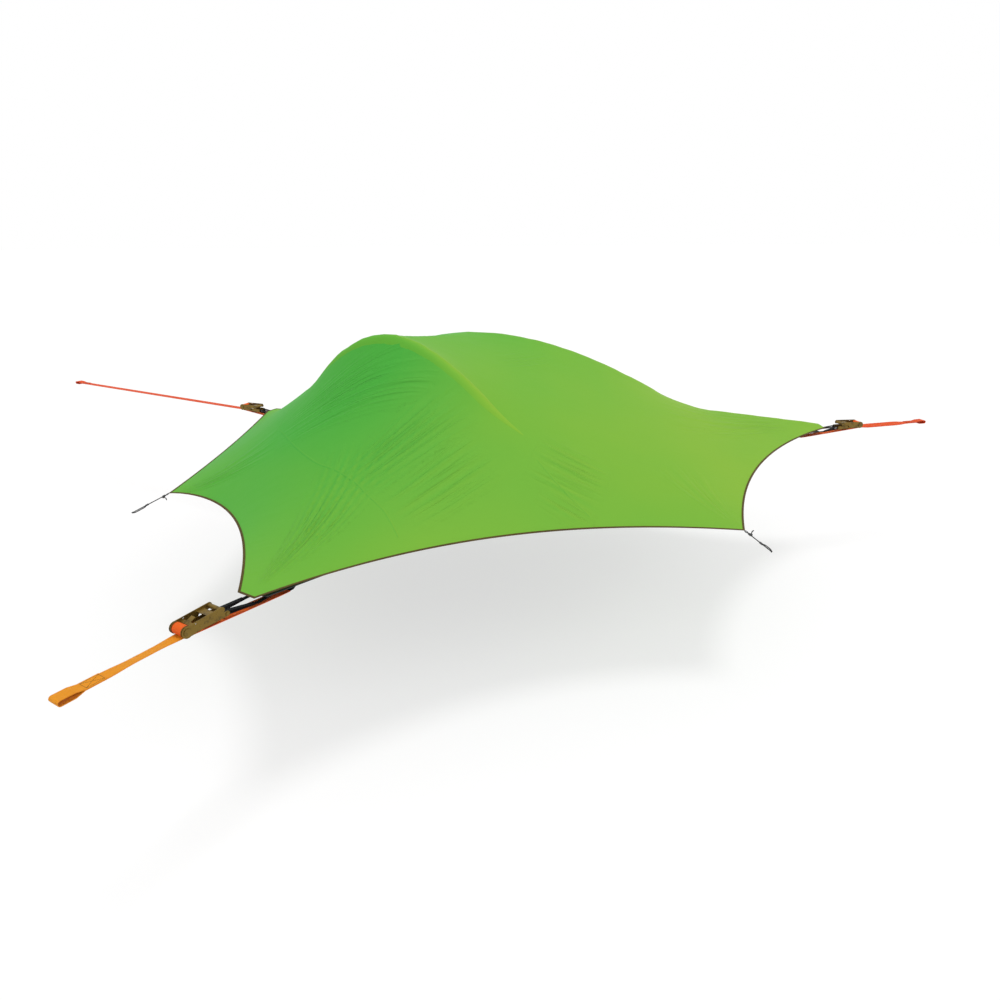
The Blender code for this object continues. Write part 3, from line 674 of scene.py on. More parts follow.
class Membrane:
    """A taut sheet fixed along its outline and propped by lines where they stand above it."""

    clearance: float = 0.6
    rounds: int = 8

    def __init__(
        self, name: str, outline: Line, ridges: Sequence[Line], spacing: float, opening: Line = ()
    ) -> None:
        """Settles the sheet.

        Args:
            name: The sheet's name.
            outline: Its fixed edge, anticlockwise.
            ridges: The lines that prop it up.
            spacing: The distance between its points.
            opening: The outline of a hole, cut out once the sheet has settled.
        """
        self.name = name
        self.spacing = spacing
        self.outline = list(outline)
        self.opening = list(opening)
        self.places, self.faces, self.heights = self._settled(ridges)
        if self.opening:
            middles = self.places[np.array(self.faces)].mean(axis=1)
            cut = self._inside(middles[:, 0], middles[:, 1], self.opening)
            self.faces = [face for face, gone in zip(self.faces, cut) if not gone]

    @staticmethod
    def _inside(x: np.ndarray, y: np.ndarray, polygon: Line) -> np.ndarray:
        """Which points of the plan lie in a polygon.

        Args:
            x: The points' first coordinates.
            y: Their second coordinates.
            polygon: The polygon.

        Returns:
            True for each point inside.
        """
        inside = np.zeros(len(x), dtype=bool)
        for i, point in enumerate(polygon):
            last = polygon[i - 1]
            if point.y == last.y:
                continue
            crossing = (last.x - point.x) * (y - point.y) / (last.y - point.y) + point.x
            inside ^= ((point.y > y) != (last.y > y)) & (x < crossing)
        return inside

    def _settled(self, ridges: Sequence[Line]) -> tuple[np.ndarray, list, np.ndarray]:
        """Meshes the plan and finds the heights of even tension.

        Args:
            ridges: The lines that prop the sheet up.

        Returns:
            The plan's points, the faces, and the heights.
        """
        places = [Vector(p) for p in self.outline]
        count = len(places)
        edges = [(i, (i + 1) % count) for i in range(count)]
        for ridge in ridges:
            first = len(places)
            places += [Vector(p) for p in ridge]
            edges += [(first + i, first + i + 1) for i in range(len(ridge) - 1)]
        propped = len(places)
        if self.opening:
            first = len(places)
            places += [Vector(p) for p in self.opening]
            edges += [(first + i, first + (i + 1) % len(self.opening)) for i in range(len(self.opening))]
        taken = np.array([(p.x, p.y) for p in places])
        low, high = taken.min(axis=0), taken.max(axis=0)
        row_step = self.spacing * math.sqrt(3) / 2
        grid = []
        for row in range(int((high[1] - low[1]) / row_step) + 1):
            shift = 0.5 * (row % 2)
            for column in range(int((high[0] - low[0]) / self.spacing) + 1):
                grid.append((low[0] + (column + shift) * self.spacing, low[1] + row * row_step))
        grid = np.array(grid)
        grid = grid[self._inside(grid[:, 0], grid[:, 1], places[:count])]
        near = np.array([np.hypot(taken[:, 0] - x, taken[:, 1] - y).min() for x, y in grid])
        places += [Vector((x, y, 0)) for x, y in grid[near > self.clearance * self.spacing]]
        flat = [p.to_2d() for p in places]
        plan, _, faces, origins, _, _ = delaunay_2d_cdt(flat, edges, [list(range(count))], 1, 1e-5)
        heights = np.zeros(len(plan))
        fixed = np.zeros(len(plan), dtype=bool)
        prop = np.zeros(len(plan), dtype=bool)
        for i, sources in enumerate(origins):
            for source in sources:
                if source < count:
                    heights[i], fixed[i] = places[source].z, True
                elif source < propped and not fixed[i]:
                    heights[i], prop[i] = places[source].z, True
        points = np.array([tuple(p) for p in plan])
        return points, faces, self._tension(points, faces, heights, fixed, prop)

    @staticmethod
    def _tension(
        plan: np.ndarray, faces: list, heights: np.ndarray, fixed: np.ndarray, prop: np.ndarray
    ) -> np.ndarray:
        """Heights of a sheet in even tension, with each prop used only where it pushes up.

        Args:
            plan: The plan's points.
            faces: Triangles of their numbers.
            heights: The known heights.
            fixed: Which points are fixed.
            prop: Which points are propped.

        Returns:
            The heights.
        """
        tri = np.array(faces)
        rows, columns, weights = [], [], []
        for k in range(3):
            i, j, far = tri[:, k], tri[:, (k + 1) % 3], tri[:, (k + 2) % 3]
            first, second = plan[i] - plan[far], plan[j] - plan[far]
            cross = np.abs(first[:, 0] * second[:, 1] - first[:, 1] * second[:, 0])
            rows.append(i)
            columns.append(j)
            weights.append((first * second).sum(axis=1) / np.maximum(cross, 1e-12) / 2)
        pull = np.zeros((len(plan), len(plan)), dtype=np.float64)
        row, column, weight = (np.concatenate(v) for v in (rows, columns, weights))
        np.add.at(pull, (row, column), weight)
        np.add.at(pull, (column, row), weight)
        stiffness = np.diag(pull.sum(axis=1)) - pull
        used = prop.copy()
        result = heights.copy()
        for _ in range(Membrane.rounds):
            known = fixed | used
            free = ~known
            result = heights.copy()
            load = stiffness[np.ix_(free, known)] @ heights[known]
            result[free] = np.linalg.solve(stiffness[np.ix_(free, free)], -load)
            slack = used & (stiffness @ result < 0)
            sunk = prop & ~used & (result < heights)
            if not slack.any() and not sunk.any():
                break
            used = (used & ~slack) | sunk
        return result

    def build(self) -> Piece:
        """The sheet as an open mesh.

        Returns:
            The new object.
        """
        mesh = bpy.data.meshes.new(self.name)
        verts = [(x, y, z) for (x, y), z in zip(self.places, self.heights)]
        mesh.from_pydata(verts, [], [tuple(f) for f in self.faces])
        builder = bmesh.new()
        builder.from_mesh(mesh)
        bmesh.ops.recalc_face_normals(builder, faces=builder.faces)
        if sum(f.normal.z for f in builder.faces) < 0:
            bmesh.ops.reverse_faces(builder, faces=builder.faces)
        loose = [v for v in builder.verts if not v.link_faces]
        bmesh.ops.delete(builder, geom=loose, context="VERTS")
        builder.to_mesh(mesh)
        builder.free()
        return link_mesh(self.name, mesh)


@dataclass(frozen=True)
class StripShape:
    """The shape of a strip that lies on cloth.

    The crown is how far its middle stands over its edges, the lift how far its edges stand over the
    cloth, and the taper the share of its length over which each end narrows.
    """

    width: float
    crown: float
    lift: float
    taper: float = 0.0
    columns: int = 7


class ClothSurface:
    """A finished sheet that strips of tape and seam are laid on."""

    strip_thickness: float = 0.0011
    ray_height: float = 3.0
    edge_height: float = 0.05

    def __init__(self, sheet: Piece) -> None:
        """Keeps the sheet's surface."""
        self.tree = BVHTree.FromObject(sheet, bpy.context.evaluated_depsgraph_get())

    def point(self, x: float, y: float, lift: float = 0.0) -> Vector:
        """A point of the surface.

        Args:
            x: Its first coordinate.
            y: Its second coordinate.
            lift: Its height above the cloth, along the cloth's normal.

        Returns:
            The point.
        """
        place, normal, _, _ = self.tree.ray_cast(Vector((x, y, self.ray_height)), Vector((0, 0, -1)))
        if place is None:
            place, normal, _, _ = self.tree.find_nearest(Vector((x, y, self.edge_height)))
        if normal.z < 0:
            normal = -normal
        return place + normal * lift

    def strip(self, name: str, line: Line, shape: StripShape) -> Piece:
        """A strip that lies on the cloth along a line, crowned across.

        Args:
            name: The piece's name.
            line: Its middle line in plan.
            shape: Its shape.

        Returns:
            The new object.
        """
        rows, columns, taper = len(line), shape.columns, shape.taper
        verts, faces = [], []
        for i, point in enumerate(line):
            run = (line[min(i + 1, rows - 1)] - line[max(i - 1, 0)]).to_2d().normalized()
            side = Vector((-run.y, run.x))
            share = i / (rows - 1)
            scale = min(1.0, (share + 0.02) / taper, (1.02 - share) / taper) if taper else 1.0
            for k in range(columns):
                across = (k / (columns - 1) - 0.5) * 2
                at = point.to_2d() + side * across * shape.width / 2 * scale
                rise = shape.lift + shape.crown * scale * (1 - across ** 2)
                verts.append(self.point(at.x, at.y, rise))
        for i in range(rows - 1):
            for k in range(columns - 1):
                a = i * columns + k
                faces.append((a, a + 1, a + columns + 1, a + columns))
        obj = mesh_piece(name, verts, faces)
        face_up(obj)
        add_wall(obj, self.strip_thickness, -1.0)
        apply_modifiers(obj)
        return shade(obj, 50.0)


# Finishes
def make_group(
    name: str, inputs: Sequence[tuple[str, str, float]], outputs: Sequence[tuple[str, str]]
) -> tuple[Tree, Node, Node]:
    """A new shader node group with its sockets.

    Args:
        name: The group's name.
        inputs: Name, socket type and value of each input.
        outputs: Name and socket type of each output.

    Returns:
        The group, its input node and its output node.
    """
    group = bpy.data.node_groups.new(name, "ShaderNodeTree")
    for label, kind, value in inputs:
        socket = group.interface.new_socket(label, in_out="INPUT", socket_type=kind)
        if kind == "NodeSocketFloat":
            socket.default_value = value
    for label, kind in outputs:
        group.interface.new_socket(label, in_out="OUTPUT", socket_type=kind)
    return group, group.nodes.new("NodeGroupInput"), group.nodes.new("NodeGroupOutput")


class Nodes:
    """Short calls that add nodes to one tree."""

    def __init__(self, tree: Tree) -> None:
        """Keeps the tree."""
        self.tree = tree

    def add(self, kind: str, **settings: object) -> Node:
        """Adds a node.

        Args:
            kind: Its type.
            settings: Its properties.

        Returns:
            The node.
        """
        node = self.tree.nodes.new(kind)
        for key, value in settings.items():
            setattr(node, key, value)
        return node

    def link(self, source: Socket, target: Socket) -> None:
        """Joins two sockets."""
        self.tree.links.new(source, target)

    def math(self, operation: str, first: object, second: object = None, third: object = None) -> Socket:
        """Adds a Math node.

        Args:
            operation: Its operation.
            first: A socket or number.
            second: A socket, a number or nothing.
            third: A socket, a number or nothing.

        Returns:
            The result's socket.
        """
        node = self.add("ShaderNodeMath", operation=operation)
        for slot, value in enumerate((first, second, third)):
            if isinstance(value, Socket):
                self.link(value, node.inputs[slot])
            elif value is not None:
                node.inputs[slot].default_value = value
        return node.outputs[0]

    def noise(self, vector: Socket, scale: float, detail: float = 2.0) -> Socket:
        """Adds a Noise texture.

        Args:
            vector: Its coordinates.
            scale: Its scale.
            detail: Its detail.

        Returns:
            The factor's socket.
        """
        node = self.add("ShaderNodeTexNoise")
        self.fill(node, {"Scale": scale, "Detail": detail})
        self.link(vector, node.inputs["Vector"])
        return node.outputs["Fac"]

    def scaled(self, vector: Socket, scale: Point, turn: float = 0.0) -> Socket:
        """Adds a Mapping node.

        Args:
            vector: The coordinates.
            scale: The scale along each axis.
            turn: The turn about Z, in radians.

        Returns:
            The mapped coordinates.
        """
        node = self.add("ShaderNodeMapping")
        self.fill(node, {"Scale": scale, "Rotation": (0, 0, turn)})
        self.link(vector, node.inputs["Vector"])
        return node.outputs["Vector"]

    def group(self, tree: Tree, vector: Socket, values: dict[str, float]) -> Node:
        """Adds one of the shared node groups.

        Args:
            tree: The group.
            vector: Its coordinates.
            values: Its other inputs.

        Returns:
            The node.
        """
        node = self.add("ShaderNodeGroup", node_tree=tree)
        self.fill(node, values)
        self.link(vector, node.inputs["Vector"])
        return node

    def seen(self) -> tuple[Node, Socket]:
        """Adds a Light Path node, and a factor of 1 for what the camera or a reflection sees."""
        path = self.add("ShaderNodeLightPath")
        return path, self.math("MAXIMUM", path.outputs["Is Camera Ray"], path.outputs["Is Glossy Ray"])

    @staticmethod
    def fill(node: Node, values: dict[str, object]) -> None:
        """Sets inputs of a node."""
        for name, value in values.items():
            node.inputs[name].default_value = value

    def ramp(self, factor: Socket, stops: Sequence[tuple[float, Colour]]) -> Socket:
        """Adds a colour ramp.

        Args:
            factor: Its factor.
            stops: Each stop's place and colour.

        Returns:
            The colour's socket.
        """
        node = self.add("ShaderNodeValToRGB")
        elements = node.color_ramp.elements
        while len(elements) < len(stops):
            elements.new(0.5)
        for element, (place, colour) in zip(elements, stops):
            element.position = place
            element.color = (*colour, 1.0)
        self.link(factor, node.inputs["Fac"])
        return node.outputs["Color"]

    def mix(self, factor: object, first: object, second: object, blend: str = "MIX") -> Socket:
        """Adds a colour mix.

        Args:
            factor: A socket or number.
            first: A socket or colour.
            second: A socket or colour.
            blend: The blend type.

        Returns:
            The colour's socket.
        """
        node = self.add("ShaderNodeMix", data_type="RGBA", blend_type=blend)
        for socket, value in ((node.inputs[0], factor), (node.inputs[6], first), (node.inputs[7], second)):
            if isinstance(value, Socket):
                self.link(value, socket)
            elif isinstance(value, tuple):
                socket.default_value = (*value, 1.0)
            else:
                socket.default_value = value
        return node.outputs[2]


class Effects:
    """The shader node groups that several finishes share."""

    def __init__(self) -> None:
        """Builds the groups."""
        self.weave = self._weave()
        self.soil = self._soil()

    @staticmethod
    def _weave() -> Tree:
        """Crossed threads as a height, from coordinates in metres.

        Returns:
            The group.
        """
        group, source, target = make_group(
            "crossed_threads",
            [("Vector", "NodeSocketVector", 0), ("Pitch along", "NodeSocketFloat", 0.002),
             ("Pitch across", "NodeSocketFloat", 0.002)],
            [("Height", "NodeSocketFloat")],
        )
        nodes = Nodes(group)
        parts = nodes.add("ShaderNodeSeparateXYZ")
        nodes.link(source.outputs["Vector"], parts.inputs[0])
        waves = []
        for axis, pitch in ((0, "Pitch along"), (1, "Pitch across")):
            turns = nodes.math("DIVIDE", parts.outputs[axis], source.outputs[pitch])
            waves.append(nodes.math("SINE", nodes.math("MULTIPLY", turns, 2 * math.pi)))
        nodes.link(nodes.math("MULTIPLY", waves[0], waves[1]), target.inputs["Height"])
        return group

    @staticmethod
    def _soil() -> Tree:
        """Broad and fine uneven patches as a mask from 0 to 1.

        Returns:
            The group.
        """
        group, source, target = make_group(
            "uneven_patches",
            [("Vector", "NodeSocketVector", 0), ("Broad", "NodeSocketFloat", 2.0),
             ("Fine", "NodeSocketFloat", 30.0)],
            [("Mask", "NodeSocketFloat")],
        )
        nodes = Nodes(group)
        values = []
        for label in ("Broad", "Fine"):
            node = nodes.add("ShaderNodeTexNoise")
            node.inputs["Detail"].default_value = 3.0
            nodes.link(source.outputs["Vector"], node.inputs["Vector"])
            nodes.link(source.outputs[label], node.inputs["Scale"])
            values.append(node.outputs["Fac"])
        broad = nodes.math("MULTIPLY", values[0], 0.65)
        fine = nodes.math("MULTIPLY", values[1], 0.35)
        nodes.link(nodes.math("ADD", broad, fine), target.inputs["Mask"])
        return group


EFFECTS = Effects()


def new_material(name: str) -> tuple[Material, Nodes, Node, Node]:
    """A new material with its shader and coordinates.

    Args:
        name: The material's name.

    Returns:
        The material, its nodes, its Principled shader and its coordinates node.
    """
    material = bpy.data.materials.new(name)
    material.use_nodes = True
    nodes = Nodes(material.node_tree)
    return material, nodes, material.node_tree.nodes["Principled BSDF"], nodes.add("ShaderNodeTexCoord")


def bump(nodes: Nodes, shader: Node, height: Socket, strength: float, distance: float) -> None:
    """Leads a height through a Bump node to the shader.

    Args:
        nodes: The material's nodes.
        shader: The shader.
        height: The height's socket.
        strength: The bump's strength.
        distance: The bump's depth in metres.
    """
    node = nodes.add("ShaderNodeBump")
    nodes.fill(node, {"Strength": strength, "Distance": distance})
    nodes.link(height, node.inputs["Height"])
    nodes.link(node.outputs["Normal"], shader.inputs["Normal"])


@dataclass(frozen=True)
class FlyFabric:
    """Thin coated ripstop cloth with painted light and shade: brighter and yellower where it faces right and
    further along +X, darker and greener higher up and where it faces left.
    """

    name: str = "fly_ripstop"
    painted_shade_green: Colour = (0.064, 0.385, 0.044)
    middle: Colour = (0.138, 0.400, 0.036)
    bright: Colour = (0.250, 0.428, 0.030)
    roughness: float = 0.62
    ripstop: float = 0.006
    painted_light_by_x: float = 0.07
    painted_shade_by_height: float = -0.42
    painted_light_by_normal: float = 0.66
    drift: float = 0.26
    offset: float = 0.46
    crinkle: float = 5.0
    billow: float = 0.9

    def make(self) -> Material:
        """Builds the material.

        Returns:
            The material.
        """
        material, nodes, shader, place = new_material(self.name)
        parts = nodes.add("ShaderNodeSeparateXYZ")
        nodes.link(place.outputs["Object"], parts.inputs[0])
        # Painted light and shade: the colour brightens a little towards +X and darkens with height.
        along = nodes.math("ADD", nodes.math("MULTIPLY", parts.outputs[0], self.painted_light_by_x),
                           nodes.math("MULTIPLY", parts.outputs[2], self.painted_shade_by_height))
        # Painted light by facing: faces turned towards +X get the brighter, yellower green and faces turned
        # away the darker green.
        slope = nodes.add("ShaderNodeSeparateXYZ")
        nodes.link(place.outputs["Normal"], slope.inputs[0])
        painted_light_by_normal = nodes.math("MULTIPLY", slope.outputs[0], self.painted_light_by_normal)
        drift = nodes.math("MULTIPLY", nodes.noise(place.outputs["Object"], 1.4, 2.0), self.drift)
        factor = nodes.math("ADD", nodes.math("ADD", along, drift), nodes.math("ADD", painted_light_by_normal, self.offset))
        # The ramp runs from painted shade (dark green) to painted light (yellow-green); only the drift noise
        # varies the tone at random.
        colour = nodes.ramp(factor, [(0.0, self.painted_shade_green), (0.45, self.middle), (1.0, self.bright)])
        pitches = {"Pitch along": self.ripstop, "Pitch across": self.ripstop}
        thread = nodes.group(EFFECTS.weave, place.outputs["Object"], pitches)
        speck = nodes.math("MULTIPLY", nodes.noise(place.outputs["Object"], 900.0, 1.0), 0.10)
        shaded = nodes.mix(speck, colour, self.painted_shade_green)
        nodes.link(shaded, shader.inputs["Base Color"])
        nodes.fill(shader, {"Roughness": self.roughness, "Specular IOR Level": 0.12})
        fold_place = nodes.add("ShaderNodeAttribute", attribute_name="fold_place")
        fold_mask = nodes.add("ShaderNodeAttribute", attribute_name="fold_mask")
        fine = nodes.noise(nodes.scaled(fold_place.outputs["Vector"], (30.0, 1.2, 1.0)), 1.0, 2.0)
        far = nodes.math("ABSOLUTE", nodes.math("SUBTRACT", fine, 0.5))
        crease = nodes.math("POWER", nodes.math("SUBTRACT", 1.0, nodes.math("MULTIPLY", far, 4.0)), 3.0)
        both = nodes.math("ADD", nodes.math("POWER", fine, 2.0), nodes.math("MULTIPLY", crease, 0.42))
        crinkle = nodes.math("MULTIPLY", both, fold_mask.outputs["Fac"])
        broad = nodes.noise(nodes.scaled(place.outputs["Object"], (5.0, 12.0, 5.0), 0.55), 1.0, 3.0)
        woven = nodes.math("MULTIPLY", thread.outputs["Height"], 0.02)
        creased = nodes.math("ADD", nodes.math("MULTIPLY", crinkle, self.crinkle),
                             nodes.math("MULTIPLY", broad, self.billow))
        bump(nodes, shader, nodes.math("ADD", woven, creased), 0.55, 0.006)
        return material


@dataclass(frozen=True)
class PlainCloth:
    """A plain woven cloth or tape in one colour."""

    name: str
    colour: Colour
    roughness: float = 0.75
    pitch: float = 0.0016
    depth: float = 0.0004
    variation: float = 0.25

    def make(self) -> Material:
        """Builds the material.

        Returns:
            The material.
        """
        material, nodes, shader, place = new_material(self.name)
        patches = nodes.group(EFFECTS.soil, place.outputs["Object"], {})
        dark = tuple(c * (1 - self.variation) for c in self.colour)
        light = tuple(min(1.0, c * (1 + self.variation)) for c in self.colour)
        colour = nodes.ramp(patches.outputs["Mask"], [(0.30, dark), (0.70, light)])
        nodes.link(colour, shader.inputs["Base Color"])
        pitches = {"Pitch along": self.pitch, "Pitch across": self.pitch}
        thread = nodes.group(EFFECTS.weave, place.outputs["Object"], pitches)
        bump(nodes, shader, thread.outputs["Height"], 0.6, self.depth)
        nodes.fill(shader, {"Roughness": self.roughness, "Specular IOR Level": 0.15})
        return material


@dataclass(frozen=True)
class Webbing:
    """Woven webbing: ribs along it, crossed threads, and thick edges, on UVs in metres."""

    name: str
    colour: Colour
    shadow: Colour
    width: float = 0.050
    rib: float = 0.0026
    thread: float = 0.0016
    roughness: float = 0.62
    specular: float = 0.20
    edge_width: float = 0.0028
    edge_shade: float = 0.45

    def make(self) -> Material:
        """Builds the material.

        Returns:
            The material.
        """
        material, nodes, shader, place = new_material(self.name)
        pitches = {"Pitch along": self.thread, "Pitch across": self.rib}
        thread = nodes.group(EFFECTS.weave, place.outputs["UV"], pitches)
        parts = nodes.add("ShaderNodeSeparateXYZ")
        nodes.link(place.outputs["UV"], parts.inputs[0])
        across = nodes.math("ABSOLUTE", parts.outputs[1])
        edge = nodes.math("GREATER_THAN", across, self.width / 2 - self.edge_width)
        fade = nodes.noise(place.outputs["UV"], 14.0, 3.0)
        base = nodes.mix(nodes.math("MULTIPLY", fade, 0.45), self.colour, self.shadow)
        woven = nodes.math("MULTIPLY_ADD", thread.outputs["Height"], 0.16, 0.16)
        colour = nodes.mix(woven, base, self.shadow)
        edged = nodes.mix(nodes.math("MULTIPLY", edge, self.edge_shade), colour, self.shadow)
        nodes.link(edged, shader.inputs["Base Color"])
        height = nodes.math("ADD", thread.outputs["Height"], nodes.math("MULTIPLY", edge, 1.2))
        bump(nodes, shader, height, 0.8, 0.0005)
        nodes.fill(shader, {"Roughness": self.roughness, "Specular IOR Level": self.specular})
        return material


@dataclass(frozen=True)
class PlatedSteel:
    """Yellow-plated pressed steel, duller and browner in patches."""

    name: str = "yellow_plated_steel"
    colour: Colour = (0.205, 0.130, 0.022)
    worn: Colour = (0.075, 0.050, 0.014)
    bright: Colour = (0.380, 0.280, 0.090)

    def make(self) -> Material:
        """Builds the material.

        Returns:
            The material.
        """
        material, nodes, shader, place = new_material(self.name)
        patches = nodes.group(EFFECTS.soil, place.outputs["Object"], {"Broad": 28.0, "Fine": 160.0})
        colour = nodes.ramp(
            patches.outputs["Mask"],
            [(0.34, self.worn), (0.50, self.colour), (0.64, self.colour), (0.76, self.bright)],
        )
        nodes.link(colour, shader.inputs["Base Color"])
        rough = nodes.math("MULTIPLY_ADD", patches.outputs["Mask"], 0.30, 0.26)
        nodes.link(rough, shader.inputs["Roughness"])
        shader.inputs["Metallic"].default_value = 0.72
        grain = nodes.noise(nodes.scaled(place.outputs["Object"], (400.0, 400.0, 400.0)), 1.0, 2.0)
        bump(nodes, shader, grain, 0.25, 0.0003)
        return material


@dataclass(frozen=True)
class SmoothMetal:
    """Drawn tube or bright fittings with fine lines."""

    name: str
    colour: Colour
    roughness: float = 0.3

    def make(self) -> Material:
        """Builds the material.

        Returns:
            The material.
        """
        material, nodes, shader, place = new_material(self.name)
        lines = nodes.noise(nodes.scaled(place.outputs["Object"], (60.0, 60.0, 900.0)), 1.0, 3.0)
        dark = tuple(c * 0.7 for c in self.colour)
        nodes.link(nodes.ramp(lines, [(0.3, dark), (0.7, self.colour)]), shader.inputs["Base Color"])
        rough = nodes.math("MULTIPLY_ADD", lines, 0.2, self.roughness - 0.1)
        nodes.link(rough, shader.inputs["Roughness"])
        shader.inputs["Metallic"].default_value = 0.9
        return material


@dataclass(frozen=True)
class MouldedPlastic:
    """Black moulded plastic with a fine grain."""

    name: str = "black_moulding"
    colour: Colour = (0.020, 0.020, 0.022)

    def make(self) -> Material:
        """Builds the material.

        Returns:
            The material.
        """
        material, nodes, shader, place = new_material(self.name)
        grain = nodes.noise(place.outputs["Object"], 700.0, 2.0)
        light = tuple(c * 2.2 for c in self.colour)
        nodes.link(nodes.ramp(grain, [(0.35, self.colour), (0.75, light)]), shader.inputs["Base Color"])
        shader.inputs["Roughness"].default_value = 0.48
        bump(nodes, shader, grain, 0.3, 0.0003)
        return material


@dataclass(frozen=True)
class BraidedCord:
    """Thin braided cord with a spiral of lighter strands."""

    name: str = "braided_cord"
    colour: Colour = (0.010, 0.010, 0.012)
    strand: Colour = (0.050, 0.050, 0.048)

    def make(self) -> Material:
        """Builds the material.

        Returns:
            The material.
        """
        material, nodes, shader, place = new_material(self.name)
        wave = nodes.add("ShaderNodeTexWave", wave_type="BANDS", bands_direction="DIAGONAL")
        nodes.fill(wave, {"Scale": 120.0, "Distortion": 1.0})
        nodes.link(place.outputs["Object"], wave.inputs["Vector"])
        nodes.link(nodes.ramp(wave.outputs["Fac"], [(0.4, self.colour), (0.9, self.strand)]),
                   shader.inputs["Base Color"])
        bump(nodes, shader, wave.outputs["Fac"], 0.6, 0.0004)
        shader.inputs["Roughness"].default_value = 0.8
        return material


@dataclass(frozen=True)
class NetFabric:
    """Fine insect net, partly see-through."""

    name: str = "insect_net"
    colour: Colour = (0.030, 0.034, 0.036)
    hole: float = 0.0024
    cover: float = 0.62

    def make(self) -> Material:
        """Builds the material.

        Returns:
            The material.
        """
        material, nodes, shader, place = new_material(self.name)
        pitches = {"Pitch along": self.hole, "Pitch across": self.hole}
        thread = nodes.group(EFFECTS.weave, place.outputs["Object"], pitches)
        light = tuple(c * 1.8 for c in self.colour)
        nodes.link(nodes.ramp(thread.outputs["Height"], [(0.0, self.colour), (1.0, light)]),
                   shader.inputs["Base Color"])
        alpha = nodes.math("MULTIPLY_ADD", thread.outputs["Height"], 0.25, self.cover)
        nodes.link(alpha, shader.inputs["Alpha"])
        shader.inputs["Roughness"].default_value = 0.85
        return material


class FinishSet:
    """Every material of the tent, made once."""

    def __init__(self) -> None:
        """Builds the materials."""
        self.fly = FlyFabric().make()
        # The ridge sleeves' cloth is the fly cloth made lighter and yellower: a painted highlight along the
        # ridge crests.
        self.sleeve = FlyFabric(
            "ridge_sleeve_painted_highlight", (0.115, 0.410, 0.036), (0.190, 0.425, 0.032), (0.270, 0.440, 0.028)
        ).make()
        self.seam = FlyFabric(
            "sewn_seam_cloth", (0.062, 0.377, 0.044), (0.134, 0.392, 0.036), (0.245, 0.421, 0.030)
        ).make()
        self.tape = PlainCloth(
            "edge_binding_tape", (0.088, 0.060, 0.016), roughness=0.78, pitch=0.0018, depth=0.0004
        ).make()
        self.floor = PlainCloth(
            "coated_floor_cloth", (0.075, 0.080, 0.085), roughness=0.7, pitch=0.0020, depth=0.0003,
            variation=0.18,
        ).make()
        self.net = NetFabric().make()
        self.black = Webbing(
            "black_webbing", (0.006, 0.0065, 0.008), (0.003, 0.003, 0.004), specular=0.08
        ).make()
        self.bright_strap = Webbing(
            "sunlit_orange_webbing", (0.930, 0.370, 0.014), (0.780, 0.245, 0.010)
        ).make()
        self.wound_strap = Webbing(
            "wound_orange_webbing", (0.950, 0.165, 0.010), (0.800, 0.075, 0.007)
        ).make()
        self.red_strap = Webbing("red_orange_webbing", (0.860, 0.100, 0.010), (0.600, 0.050, 0.007)).make()
        self.steel = PlatedSteel().make()
        self.alloy = SmoothMetal("pole_tube_alloy", (0.420, 0.430, 0.440), 0.32).make()
        self.zip = SmoothMetal("zip_metal", (0.260, 0.260, 0.270), 0.35).make()
        self.plastic = MouldedPlastic().make()
        self.cord = BraidedCord().make()
        self.patch = PlainCloth(
            "corner_patch_cloth", (0.018, 0.018, 0.021), roughness=0.7, pitch=0.0022, depth=0.0004
        ).make()
        self.thread = PlainCloth(
            "sewing_thread", (0.025, 0.025, 0.028), roughness=0.7, pitch=0.0008, depth=0.0002, variation=0.2
        ).make()


